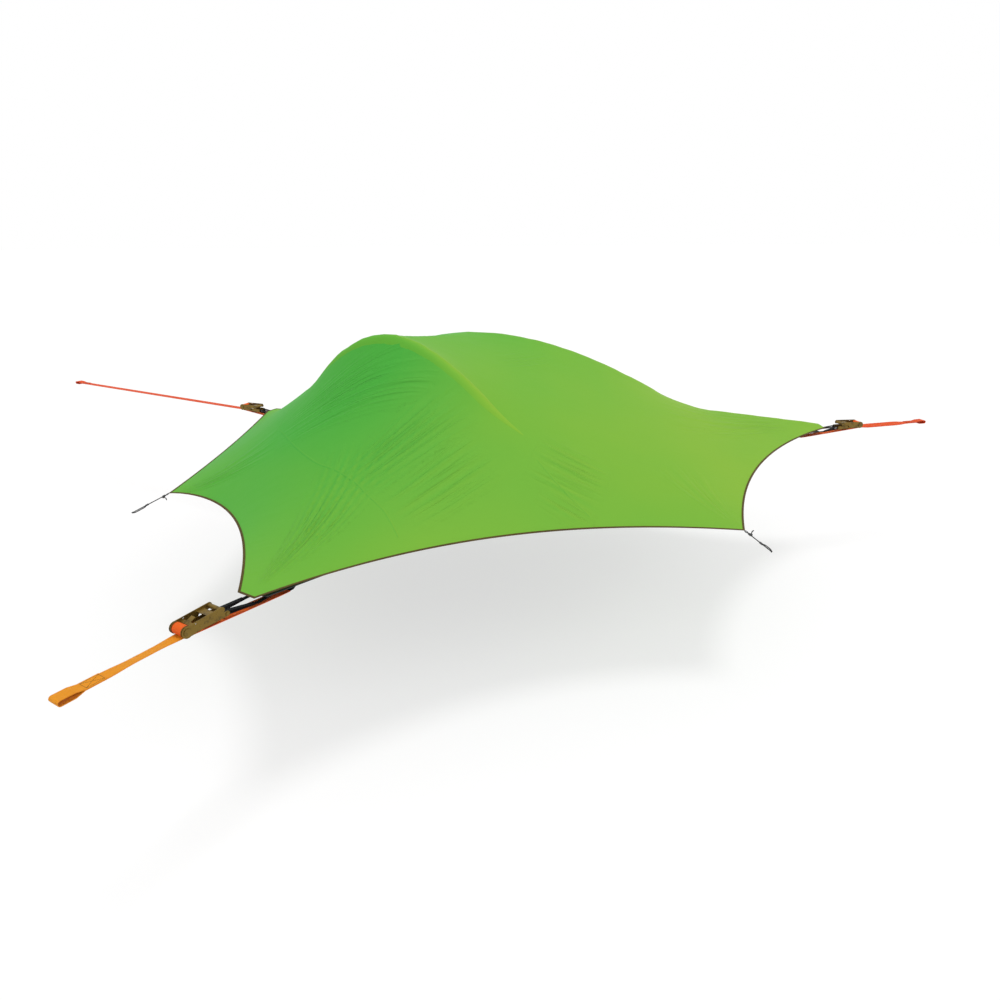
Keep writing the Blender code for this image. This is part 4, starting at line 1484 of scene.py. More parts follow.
class Strip:
    """Makes runs of webbing by drawing an edge out along a path."""

    @staticmethod
    def run(
        name: str, path: Line, width: float, thickness: float, frame: Matrix, rolls: Sequence[float] = ()
    ) -> Piece:
        """A flat run of webbing whose path lies in the frame's XZ plane and whose width lies along its Y.

        Args:
            name: The piece's name.
            path: Its centre points.
            width: Its width.
            thickness: Its thickness.
            frame: The matrix from its frame to the tent's.
            rolls: How far its width is turned about the path at each point, or nothing where it is flat.

        Returns:
            The new object.
        """
        obj = added(bpy.ops.mesh.primitive_plane_add, size=width)
        obj.name = name
        bpy.ops.object.mode_set(mode="EDIT")
        bpy.ops.mesh.select_mode(type="VERT")
        bpy.ops.mesh.select_all(action="DESELECT")
        bpy.ops.object.mode_set(mode="OBJECT")
        for vert in obj.data.vertices:
            vert.select = vert.co.x > 0
        bpy.ops.object.mode_set(mode="EDIT")
        bpy.ops.mesh.delete(type="VERT")
        bpy.ops.mesh.select_all(action="SELECT")
        start = Vector(path[0])
        bpy.ops.transform.translate(value=start - Vector((-width / 2, 0, 0)))
        for before, after in zip(path, path[1:]):
            step = Vector(after) - Vector(before)
            bpy.ops.mesh.extrude_region_move(TRANSFORM_OT_translate={"value": step})
        bpy.ops.object.mode_set(mode="OBJECT")
        obj.data.name = name
        Strip.lay_uv(obj, path)
        if rolls:
            Strip.twist(obj, path, rolls)
        add_wall(obj, thickness)
        apply_modifiers(obj)
        obj.data.transform(frame)
        return shade(obj, 40.0)

    @staticmethod
    def twist(obj: Piece, path: Line, rolls: Sequence[float]) -> None:
        """Turns a run's width about its path, its +Y edge upwards.

        Args:
            obj: The run, before its frame is applied.
            path: Its centre points.
            rolls: The turn at each of them.
        """
        places = np.array([tuple(p) for p in path])
        for vert in obj.data.vertices:
            nearest = int(np.hypot(places[:, 0] - vert.co.x, places[:, 2] - vert.co.z).argmin())
            across = vert.co.y - places[nearest, 1]
            vert.co.y = places[nearest, 1] + across * math.cos(rolls[nearest])
            vert.co.z += across * math.sin(rolls[nearest])

    @staticmethod
    def lay_uv(obj: Piece, path: Line) -> None:
        """Gives a run its UVs in metres: along the path, and across from its middle.

        Args:
            obj: The run, before its frame is applied.
            path: Its centre points.
        """
        lengths = [0.0]
        for before, after in zip(path, path[1:]):
            lengths.append(lengths[-1] + (Vector(after) - Vector(before)).length)
        places = np.array([tuple(p) for p in path])
        layer = obj.data.uv_layers.new(name="UVMap") if not obj.data.uv_layers else obj.data.uv_layers[0]
        for loop in obj.data.loops:
            co = obj.data.vertices[loop.vertex_index].co
            nearest = int(np.hypot(places[:, 0] - co.x, places[:, 2] - co.z).argmin())
            layer.data[loop.index].uv = (lengths[nearest], co.y - places[nearest, 1])


@dataclass
class RainFly:
    """The green rain fly, with its ridge sleeves, seams and edge tape."""

    finishes: FinishSet
    spacing: float = 0.050
    thickness: float = 0.0009
    binding_radius: float = 0.0040
    above_pole: float = 0.0130
    tape_width: float = 0.0095
    tape_thickness: float = 0.0026
    tape_overhang: float = 0.0004
    ridge_steps: int = 8
    flank_station: int = 22
    flank_gap: float = 0.10
    flank_rise: float = 0.010
    saddle_stations: tuple[int, int] = (14, 11)
    saddle_sag: float = 0.012
    calm_edge: float = 0.012
    calm_run: float = 0.060
    front_sleeve: StripShape = StripShape(0.074, 0.0060, 0.0005, 0.22, 13)
    long_sleeve: StripShape = StripShape(0.036, 0.0030, 0.0005, 0.05, 9)
    panel_seam: StripShape = StripShape(0.012, 0.0009, 0.0004)

    def build(self) -> None:
        """Builds the fly's pieces."""
        front = lifted(PLAN.front_pole_line(), self.above_pole)
        long_line = lifted(PLAN.long_pole_line(), self.above_pole)
        last = round(PLAN.seam_start * PLAN.pole_stations)
        seam_end = Vector((PLAN.fly_reach_right - PLAN.seam_tip_inset, 0, PLAN.ridge_seam_height))
        seam_start = long_line[last]
        steps = self.ridge_steps
        seam = [seam_start + (seam_end - seam_start) * i / steps for i in range(1, steps + 1)]
        self.front_ridge = refined(front[3:-3], self.spacing)
        self.long_ridge = refined(long_line[2:last] + seam, self.spacing)
        outline = PLAN.fly_outline(self.spacing)
        edge = inset(outline, self.binding_radius + self.thickness)
        props = [self.front_ridge, self.long_ridge, self.flank(front), self.saddle(front, long_line)]
        membrane = Membrane("fly_sheet", edge, props, self.spacing)
        sheet = membrane.build()
        self.relax(sheet)
        self.wrinkle(sheet)
        self.mark_crinkles(sheet)
        self.surface = ClothSurface(sheet)
        add_wall(sheet, self.thickness)
        apply_modifiers(sheet)
        shade(sheet, 60.0)
        finish_piece(sheet, "tent", self.finishes.fly, ["fly"])
        self.build_tape(outline)
        self.build_seams()

    def flank(self, front: Line) -> list[Vector]:
        """The straight line of strongest pull from the front pole to the back tip.

        Args:
            front: The front pole's raised line.

        Returns:
            The line's points.
        """
        tip = sum(PLAN.fly_corner(Corner.BACK_LEFT), Vector()) / 2
        outward = Vector((tip.x, tip.y, 0)).normalized()
        end = tip - outward * self.flank_gap + Vector((0, 0, self.flank_rise))
        return self.straight(front[self.flank_station], end, 0.0)

    def saddle(self, front: Line, long_line: Line) -> list[Vector]:
        """The nearly level line between the poles' tops."""
        first, last = self.saddle_stations
        return self.straight(front[first], long_line[last], self.saddle_sag)

    def straight(self, start: Vector, end: Vector, sag: float) -> list[Vector]:
        """A line that sags a little between its ends.

        Args:
            start: Its first point.
            end: Its last point.
            sag: How far its middle hangs below a straight line.

        Returns:
            The points.
        """
        steps = round((end - start).length / self.spacing)
        points = []
        for i in range(steps + 1):
            share = i / steps
            points.append(start + (end - start) * share - Vector((0, 0, sag * 4 * share * (1 - share))))
        return points

    def relax(self, sheet: Piece) -> None:
        """Subdivides the settled sheet and rounds it."""
        add_rounding(sheet, 2)
        apply_modifiers(sheet)

    def wrinkle(self, sheet: Piece) -> None:
        """Presses the tension folds into the sheet.

        Args:
            sheet: The open sheet.
        """
        mesh = sheet.data
        count = len(mesh.vertices)
        flat = np.empty(count * 3)
        mesh.vertices.foreach_get("co", flat)
        points = flat.reshape(-1, 3)
        height = np.zeros(count)
        for fold in FOLD_FANS:
            height += fold.height(points[:, 0], points[:, 1])
        points[:, 2] += height * self.edge_mask(points)
        mesh.vertices.foreach_set("co", points.ravel())
        mesh.update()

    @staticmethod
    def mark_crinkles(sheet: Piece) -> None:
        """Stores, at each point, its place in the nearest set of folds, for the cloth's fine crinkles.

        Args:
            sheet: The open sheet.
        """
        mesh = sheet.data
        flat = np.empty(len(mesh.vertices) * 3)
        mesh.vertices.foreach_get("co", flat)
        points = flat.reshape(-1, 3)
        strongest = np.zeros(len(points))
        second = np.zeros(len(points))
        place = np.zeros((len(points), 3))
        for index, fold in enumerate(FOLD_FANS):
            mask, across, along = fold.place(points[:, 0], points[:, 1])
            mask = mask * min(1.0, fold.depth / 0.0055)
            closer = mask > strongest
            second = np.where(closer, strongest, np.maximum(second, mask))
            strongest[closer] = mask[closer]
            place[closer] = np.stack([across, along, np.full(len(points), index * 3.7)], axis=1)[closer]
        mesh.attributes.new("fold_mask", "FLOAT", "POINT").data.foreach_set("value", strongest - second)
        mesh.attributes.new("fold_place", "FLOAT_VECTOR", "POINT").data.foreach_set("vector", place.ravel())

    def edge_mask(self, points: np.ndarray) -> np.ndarray:
        """How far each point may move: nothing at the fly's edge, all at 60 mm from it.

        Args:
            points: The sheet's points.

        Returns:
            Shares from 0 to 1.
        """
        line = np.array([(p.x, p.y) for p in PLAN.fly_outline(0.03)])
        nearest = np.full(len(points), 9.0)
        for start in range(0, len(line), 40):
            part = line[start:start + 40]
            gap = np.hypot(points[:, None, 0] - part[None, :, 0], points[:, None, 1] - part[None, :, 1])
            nearest = np.minimum(nearest, gap.min(axis=1))
        return np.clip((nearest - self.calm_edge) / self.calm_run, 0.0, 1.0)

    def build_seams(self) -> None:
        """The pole sleeves and the flat seams between the fly's panels."""
        for name, line, shape in (("front_ridge_sleeve", self.front_ridge, self.front_sleeve),
                                  ("long_ridge_sleeve", self.long_ridge, self.long_sleeve)):
            # The sleeves get the lighter sleeve cloth, a painted highlight along the ridges.
            sleeve = self.surface.strip(name, line, shape)
            finish_piece(sleeve, "tent", self.finishes.sleeve)
        for name, ends in PANEL_SEAMS.items():
            line = refined([Vector((x, y, 0)) for x, y in ends], 0.03)
            strip = self.surface.strip(name, line, self.panel_seam)
            finish_piece(strip, "tent", self.finishes.seam)

    def build_tape(self, outline: Line) -> None:
        """The tape folded over the fly's edge.

        Args:
            outline: The fly's edge, anticlockwise.
        """
        closed = list(outline)
        count = len(closed)
        fold, radius = -self.binding_radius + self.tape_overhang, self.tape_thickness / 2
        profile = [(fold + self.tape_width * (1 - share), radius) for share in np.linspace(0, 1, 5)]
        for turn in np.linspace(math.pi / 2, 3 * math.pi / 2, 5)[1:-1]:
            profile.append((fold + radius * math.cos(turn), radius * math.sin(turn)))
        profile += [(fold + self.tape_width * share, -radius) for share in np.linspace(0, 1, 5)]
        verts, faces = [], []
        for i, point in enumerate(closed):
            normal, slant, along = mitre(closed, i)
            inner = point.to_2d() + normal * self.tape_width / slant
            target = self.surface.point(inner.x, inner.y)
            inward = Vector((normal.x, normal.y, 0)) / slant
            inward.z = (target.z - point.z) / self.tape_width
            up = inward.cross(along.to_3d()).normalized()
            if up.z < 0:
                up = -up
            for reach, rise in profile:
                verts.append(point + inward * reach + up * rise)
        size = len(profile)
        for i in range(count):
            j = (i + 1) % count
            for k in range(size):
                m = (k + 1) % size
                faces.append((i * size + k, j * size + k, j * size + m, i * size + m))
        obj = mesh_piece("fly_edge_tape", verts, faces)
        point_out(obj)
        shade(obj, 45.0)
        finish_piece(obj, "tent", self.finishes.tape, ["fly_edge_binding"])


@dataclass(frozen=True)
class FoldFan:
    """A fan of tension folds that runs out from a point, in plan."""

    origin: Place
    heading: float
    spread: float
    start: float
    end: float
    folds: float
    depth: float
    seed: float = 0.0

    def place(self, x: np.ndarray, y: np.ndarray) -> tuple[np.ndarray, np.ndarray, np.ndarray]:
        """Where points of the plan lie in the fan.

        Args:
            x: The points' first coordinates.
            y: Their second coordinates.

        Returns:
            The mask from 0 to 1, and the places across and along the folds in metres.
        """
        dx, dy = x - self.origin[0], y - self.origin[1]
        distance = np.hypot(dx, dy)
        angle = np.arctan2(dy, dx) - math.radians(self.heading)
        angle = (angle + math.pi) % (2 * math.pi) - math.pi
        half = math.radians(self.spread) / 2
        across = np.clip(1 - (angle / half) ** 2, 0, 1)
        span = np.clip((distance - self.start) / (self.end - self.start), 0, 1)
        return across * np.sin(math.pi * span) ** 0.8, angle * (self.start + self.end) / 2, distance

    def height(self, x: np.ndarray, y: np.ndarray) -> np.ndarray:
        """The folds' height at points of the plan.

        Args:
            x: The points' first coordinates.
            y: Their second coordinates.

        Returns:
            The heights.
        """
        mask, across, distance = self.place(x, y)
        share = across / (math.radians(self.spread) / 2 * (self.start + self.end) / 2)
        return self.depth * mask * crests(share * self.folds, distance, self.seed)


@dataclass(frozen=True)
class FoldBand:
    """A band of near-parallel folds, in plan."""

    middle: Place
    heading: float
    length: float
    width: float
    folds: float
    depth: float
    seed: float = 0.0

    def place(self, x: np.ndarray, y: np.ndarray) -> tuple[np.ndarray, np.ndarray, np.ndarray]:
        """Where points of the plan lie in the band.

        Args:
            x: The points' first coordinates.
            y: Their second coordinates.

        Returns:
            The mask from 0 to 1, and the places across and along the folds in metres.
        """
        turn = math.radians(self.heading)
        dx, dy = x - self.middle[0], y - self.middle[1]
        along = dx * math.cos(turn) + dy * math.sin(turn)
        across = -dx * math.sin(turn) + dy * math.cos(turn)
        mask = np.clip(1 - (along / self.length * 2) ** 2, 0, 1)
        mask = mask * np.clip(1 - (across / self.width * 2) ** 2, 0, 1)
        return mask, across, along

    def height(self, x: np.ndarray, y: np.ndarray) -> np.ndarray:
        """The folds' height at points of the plan."""
        mask, across, along = self.place(x, y)
        return self.depth * mask * crests(across / self.width * 2 * self.folds, along, self.seed)


def crests(turns: np.ndarray, along: np.ndarray, seed: float) -> np.ndarray:
    """Uneven folds with narrow crests between wide shallow troughs.

    Args:
        turns: The place across the folds, one unit to a fold.
        along: The place along them in metres.
        seed: Sets one group of folds apart from another.

    Returns:
        Heights from about -0.5 to 1.
    """
    phase = turns * math.pi + seed + 0.35 * np.sin(along * 2.6 + seed * 3.0)
    wave = 0.5 + 0.5 * np.sin(phase)
    second = 0.5 + 0.5 * np.sin(phase * 1.63 + seed * 2.0 + 0.4 * np.sin(along * 4.0))
    return 0.8 * wave ** 2.2 + 0.45 * second ** 2.5 - 0.35


FOLD_FANS: tuple[FoldFan | FoldBand, ...] = (
    FoldFan((-1.5745, -1.489), 60.0, 26.0, 0.08, 1.10, 9.0, 0.0055, 0.4),
    FoldBand((-0.93, -0.66), 26.0, 1.00, 0.34, 9.0, 0.0052, 1.9),
    FoldBand((-0.70, -0.86), 30.0, 0.62, 0.34, 5.0, 0.0050, 0.7),
    FoldBand((-1.00, -0.20), -17.0, 0.95, 0.36, 9.0, 0.0060, 2.6),
    FoldFan((-2.083, 0.0), -9.0, 34.0, 0.05, 0.62, 3.0, 0.0070, 0.9),
    FoldBand((-0.02, -0.80), -32.0, 0.40, 0.46, 6.0, 0.0042, 0.2),
    FoldBand((-0.10, -1.00), -40.0, 0.30, 0.26, 4.0, 0.0035, 1.2),
    FoldBand((0.02, 0.17), 28.0, 0.44, 0.24, 4.0, 0.0014, 2.2),
    FoldFan((2.150, 0.0), 184.0, 30.0, 0.30, 1.30, 5.0, 0.0040, 2.0),
    FoldFan((0.724, -1.267), 100.0, 50.0, 0.05, 0.60, 4.0, 0.0020, 1.7),
    FoldFan((0.724, 1.267), -104.0, 50.0, 0.05, 0.75, 4.0, 0.0045, 2.3),
    FoldFan((-1.5745, 1.489), -30.0, 26.0, 0.10, 1.10, 5.0, 0.0065, 0.8),
    FoldBand((-0.10, 0.95), 24.0, 0.70, 0.36, 6.0, 0.0060, 1.5),
)

PANEL_SEAMS: dict[str, list[Place]] = {
    "left_panel_seam": [
        (-1.462, -0.004), (-1.380, -0.282), (-1.284, -0.505), (-1.191, -0.632), (-1.106, -0.764),
        (-1.058, -0.867), (-0.993, -0.999), (-0.955, -1.160),
    ],
    "front_panel_seam": [
        (-0.180, -0.740), (-0.147, -0.814), (-0.109, -0.899), (-0.061, -0.988), (-0.014, -1.075)
    ],
    "back_panel_seam": [(-1.462, 0.060), (-1.300, 0.520), (-1.120, 0.860), (-1.000, 1.150)],
}


def turned(points: Sequence[Place], frame: Matrix) -> list[Vector]:
    """Points of a frame's XY plane in the tent's coordinates.

    Args:
        points: The points.
        frame: The matrix from the frame to the tent's.

    Returns:
        The points.
    """
    return [frame @ Vector((x, y, 0)) for x, y in points]


def eased(share: float) -> float:
    """A share that starts and ends its rise gently.

    Args:
        share: The plain share, which may lie outside 0 to 1.

    Returns:
        The eased share, from 0 to 1.
    """
    held = min(1.0, max(0.0, share))
    return held * held * (3.0 - 2.0 * held)


def arc_points(
    centre: Place, radius: float, start: float, end: float, steps: int
) -> list[Vector]:
    """Points of an arc in an XZ plane.

    Args:
        centre: Its centre, as x and z.
        radius: Its radius.
        start: Its first angle in degrees.
        end: Its last angle in degrees.
        steps: How many steps.

    Returns:
        The points.
    """
    points = []
    for i in range(steps + 1):
        turn = math.radians(start + (end - start) * i / steps)
        points.append(Vector((centre[0] + radius * math.cos(turn), 0, centre[1] + radius * math.sin(turn))))
    return points


@dataclass(frozen=True)
class Stitching:
    """Rows of stitches, each row one piece."""

    finishes: FinishSet
    pitch: float = 0.0046
    length: float = 0.0032
    height: float = 0.0008

    def rows(self, name: str, lines: Sequence[Line], normal: Vector, body: str, slot: str) -> None:
        """Sews lines of stitches.

        Args:
            name: The piece's name.
            lines: The lines, each a list of points on the cloth.
            normal: The direction that the cloth faces.
            body: The body that carries them.
            slot: The record's material slot; not used.
        """
        stitch = added(
            bpy.ops.mesh.primitive_cylinder_add, vertices=6, radius=self.height / 2, depth=self.length
        )
        stretched(stitch, (1.0, 1.6, 1.0))
        source = stitch.data
        builder = bmesh.new()
        for line in lines:
            for start, end in zip(line, line[1:]):
                run = end - start
                count = max(1, int(run.length / self.pitch))
                along = run.normalized()
                side = normal.cross(along).normalized()
                turn = Matrix((normal, side, along)).transposed().to_4x4()
                for i in range(count):
                    place = start + run * (i + 0.5) / count
                    copy = source.copy()
                    copy.transform(Matrix.Translation(place) @ turn)
                    builder.from_mesh(copy)
                    bpy.data.meshes.remove(copy)
        bpy.data.objects.remove(stitch)
        mesh = bpy.data.meshes.new(name)
        builder.to_mesh(mesh)
        builder.free()
        obj = link_mesh(name, mesh)
        shade(obj, 50.0)
        finish_piece(obj, body, self.finishes.thread)

    @staticmethod
    def crossed_box(
        frame: Matrix, low: Place, high: Place, height: float
    ) -> list[list[Vector]]:
        """The lines of a box with a cross in it.

        Args:
            frame: The matrix from the box's frame to the tent's.
            low: Its lowest x and y.
            high: Its highest x and y.
            height: Its height in the frame.

        Returns:
            The lines.
        """
        a, b, c, d = (frame @ Vector((x, y, height)) for x, y in
                      (low, (high[0], low[1]), high, (low[0], high[1])))
        return [[a, b, c, d, a], [a, c], [b, d]]


@dataclass
class CornerSuspension:
    """One corner's ratchet, strap, tail and sling."""

    corner: Corner
    finishes: FinishSet
    strap_reach: float
    spool_height: float = 0.0210
    spool_radius: float = 0.0090
    winding_radius: float = 0.0222
    winding_turns: int = 4
    strap_width: float = 0.050
    strap_thickness: float = 0.0022
    eye_length: float = 0.085
    eye_height: float = 0.022
    stitch_length: float = 0.070
    frame_inner: float = 0.0270
    plate: float = 0.0025
    handle_outer: float = 0.0368
    bolt: Place = (-0.168, -0.0115)
    bolt_radius: float = 0.0050
    sling_width: float = 0.018
    sling_flare: float = 0.016
    sling_thickness: float = 0.0026
    strap_twist: float = 0.0
    twist_run: float = 0.10
    tail_drop: float = 0.037
    tail_bend: float = 0.040
    tail_end: float = 1.985
    strap_seat: float = 0.0012
    wrap_gap: float = 0.0004
    turn_steps: int = 28
    stitch_inset: float = 0.006
    patch_room: float = 0.0026
    cross_drop: float = 0.0030
    sling_overlap: float = 0.165
    sling_reach: float = 0.030
    side_gap: float = 0.0006
    boss_radius: float = 0.0150
    boss_rise: float = 0.0022
    rivets: tuple[Point, ...] = ((-0.052, 0.000, 0.0040), (-0.098, 0.010, 0.0034), (-0.121, 0.013, 0.0030))

    def build(self) -> None:
        """Builds the corner's pieces."""
        self.frame = PLAN.corner_frame(self.corner, self.spool_height)
        self.name = self.corner.value
        sunlit = self.corner is Corner.FRONT_LEFT
        self.lit = self.finishes.bright_strap if sunlit else self.finishes.red_strap
        self.build_strap()
        self.build_winding()
        self.build_tail()
        self.build_sling()
        self.build_steel()

    def build_strap(self) -> None:
        """The taut strap and its sewn eye."""
        length = self.strap_reach - PLAN.ratchet_reach
        level = -self.winding_radius + self.strap_seat
        middle = -self.spool_height
        half = self.eye_height / 2
        end = length + self.eye_length
        flat = length - self.stitch_length
        path = refined([Vector((self.side_gap, 0, level)), Vector((flat, 0, level))], 0.02)
        rolls = [self.strap_twist * eased(min(p.x, flat - p.x) / self.twist_run) for p in path]
        neck, upper = length + self.eye_length * 0.35, level + self.strap_thickness + PLAN.cloth_gap
        path += [Vector((length, 0, level)), Vector((neck, 0, middle - half * 0.85))]
        path += arc_points((end - half, middle), half - self.strap_thickness / 2, -100, 100, 12)
        path += [Vector(place) for place in
                 ((neck, 0, middle + half * 0.85), (length, 0, upper), (flat, 0, upper))]
        rolls += [0.0] * (len(path) - len(rolls))
        strap = Strip.run(
            f"{self.name}_webbing_strap", path, self.strap_width, self.strap_thickness, self.frame, rolls
        )
        finish_piece(strap, "tent", self.lit, [f"{self.name}_strap"])
        top = level + self.strap_thickness * 1.5 + self.wrap_gap
        half_box = self.strap_width / 2 - self.stitch_inset
        low, high = (length - self.stitch_length + 0.005, -half_box), (length - self.stitch_inset, half_box)
        lines = Stitching.crossed_box(self.frame, low, high, top)
        up = Vector((0, 0, 1))
        Stitching(self.finishes).rows(f"{self.name}_eye_stitches", lines, up, "tent", "orange_webbing")

    def build_winding(self) -> None:
        """The strap's turns on the spool."""
        inner = self.spool_radius + self.wrap_gap + self.strap_thickness / 2
        outer = self.winding_radius - self.strap_thickness / 2
        steps = self.winding_turns * self.turn_steps
        path = []
        for i in range(steps + 1):
            share = i / steps
            turn = -math.pi / 2 - 2 * math.pi * self.winding_turns * (1 - share)
            radius = inner + (outer - inner) * share
            path.append(Vector((radius * math.cos(turn), 0, radius * math.sin(turn))))
        width, thickness = self.strap_width - self.side_gap, self.strap_thickness * 0.95
        winding = Strip.run(f"{self.name}_wound_webbing", path, width, thickness, self.frame)
        finish_piece(
            winding, f"{self.name}_spool", self.finishes.wound_strap,
            [f"{self.name}_strap_winding"],
        )

    def build_tail(self) -> None:
        """The strap's loose tail, led from under the winding to the sling's tongue."""
        level = -self.spool_height - self.tail_drop
        under = -self.winding_radius - self.wrap_gap - self.strap_thickness / 2
        finish = self.tail_end - PLAN.ratchet_reach
        bend = finish + self.tail_bend
        path = refined([Vector((0, 0, under)), Vector((bend, 0, level)), Vector((finish, 0, level))], 0.012)
        tail = Strip.run(
            f"{self.name}_webbing_tail", path, self.strap_width, self.strap_thickness, self.frame
        )
        # The tail takes the brighter wound webbing, not the strap's own: painted light on its lit top face.
        finish_piece(tail, "tent", self.finishes.wound_strap, [f"{self.name}_strap_tail"])

    def build_sling(self) -> None:
        """The black sling round the end bolt, sewn under the floor's corner, with the tail's tongue."""
        under = -self.spool_height - PLAN.floor_top - self.side_gap - self.patch_room
        level = under - self.sling_thickness / 2
        finish = PLAN.floor_reach - self.sling_overlap - PLAN.ratchet_reach
        bend = PLAN.floor_reach + self.sling_reach - PLAN.ratchet_reach
        x, z = self.bolt
        ring = self.bolt_radius + self.wrap_gap + self.sling_thickness / 2
        pieces = []
        for side in (-1, 1):
            out = side * self.sling_flare
            path = [Vector((finish, 0, level)), Vector((bend, out, level)),
                    Vector((bend + 0.012, out, level + 0.0006))]
            path += arc_points((x, z), ring, -100, 100, 10)
            path += [Vector((x - 0.030, out * 0.15, z + 0.0030)),
                     Vector((bend + 0.02, out, level + self.sling_thickness * 1.6))]
            middle = side * (self.frame_inner - self.side_gap - self.sling_width / 2)
            place = self.frame @ Matrix.Translation((0, middle, 0))
            pieces.append(Strip.run("leg", path, self.sling_width, self.sling_thickness, place))
        width, lower = self.frame_inner * 2 - 0.0012, level - self.cross_drop
        cross = [Vector((finish - 0.040, 0, lower)), Vector((finish + 0.010, 0, lower))]
        pieces.append(Strip.run("cross", cross, width, self.sling_thickness, self.frame))
        tongue_end = self.tail_end - PLAN.cloth_gap - PLAN.ratchet_reach
        tail_level = -self.spool_height - self.tail_drop
        tongue = [Vector((finish - 0.030, 0, lower)), Vector((tongue_end - 0.020, 0, tail_level)),
                  Vector((tongue_end, 0, tail_level))]
        pieces.append(Strip.run("tongue", tongue, self.strap_width, self.strap_thickness, self.frame))
        sling = joined(pieces, f"{self.name}_webbing_sling")
        finish_piece(sling, "tent", self.finishes.black, [f"{self.name}_corner_sling"])

    def build_steel(self) -> None:
        """The ratchet's bosses and rivets."""
        for side, label in ((-1, "near"), (1, "far")):
            face = side * self.handle_outer
            boss = self.boss(f"{self.name}_{label}_boss", self.boss_radius, face, side, self.boss_rise)
            finish_piece(boss, f"{self.name}_handle", self.finishes.steel)
        for x, z, radius in self.rivets:
            for side, label in ((-1, "near"), (1, "far")):
                rivet = self.rivet(f"{self.name}_{label}_rivet", x, z, side * self.handle_outer, radius)
                finish_piece(rivet, f"{self.name}_handle", self.finishes.steel)

    def boss(self, name: str, radius: float, y: float, side: int, rise: float) -> Piece:
        """A round pressed boss on the handle's outside, round the spool's end.

        Args:
            name: The piece's name.
            radius: Its radius.
            y: The plate's outside.
            side: -1 or 1, the way it faces.
            rise: How far it stands out.

        Returns:
            The new object.
        """
        obj = added(bpy.ops.mesh.primitive_cylinder_add, vertices=40, radius=radius, depth=rise)
        bpy.ops.object.mode_set(mode="EDIT")
        bpy.ops.mesh.select_mode(type="FACE")
        bpy.ops.mesh.select_all(action="DESELECT")
        bpy.ops.object.mode_set(mode="OBJECT")
        for face in obj.data.polygons:
            face.select = face.normal.z > 0.9
        bpy.ops.object.mode_set(mode="EDIT")
        bpy.ops.mesh.inset(thickness=radius * 0.16, depth=0.0)
        bpy.ops.mesh.inset(thickness=radius * 0.06, depth=-rise * 0.45)
        bpy.ops.mesh.inset(thickness=radius * 0.10, depth=0.0)
        bpy.ops.object.mode_set(mode="OBJECT")
        add_bevel(obj, "soft_edges", 0.0004, 2)
        apply_modifiers(obj)
        turn = Matrix.Rotation(-side * math.pi / 2, 4, "X")
        obj.data.transform(self.frame @ Matrix.Translation((0, y + side * rise / 2, 0)) @ turn)
        obj.name = name
        return shade(obj, 40.0)

    def rivet(self, name: str, x: float, z: float, y: float, radius: float) -> Piece:
        """A domed rivet head.

        Args:
            name: The piece's name.
            x: Its place along the handle.
            z: Its height.
            y: The plate's outside.
            radius: Its radius.

        Returns:
            The new object.
        """
        obj = added(bpy.ops.mesh.primitive_uv_sphere_add, segments=16, ring_count=8, radius=radius)
        stretched(obj, (1.0, 0.45, 1.0))
        obj.data.transform(self.frame @ Matrix.Translation((x, y, z)))
        obj.name = name
        return shade(obj, 60.0)


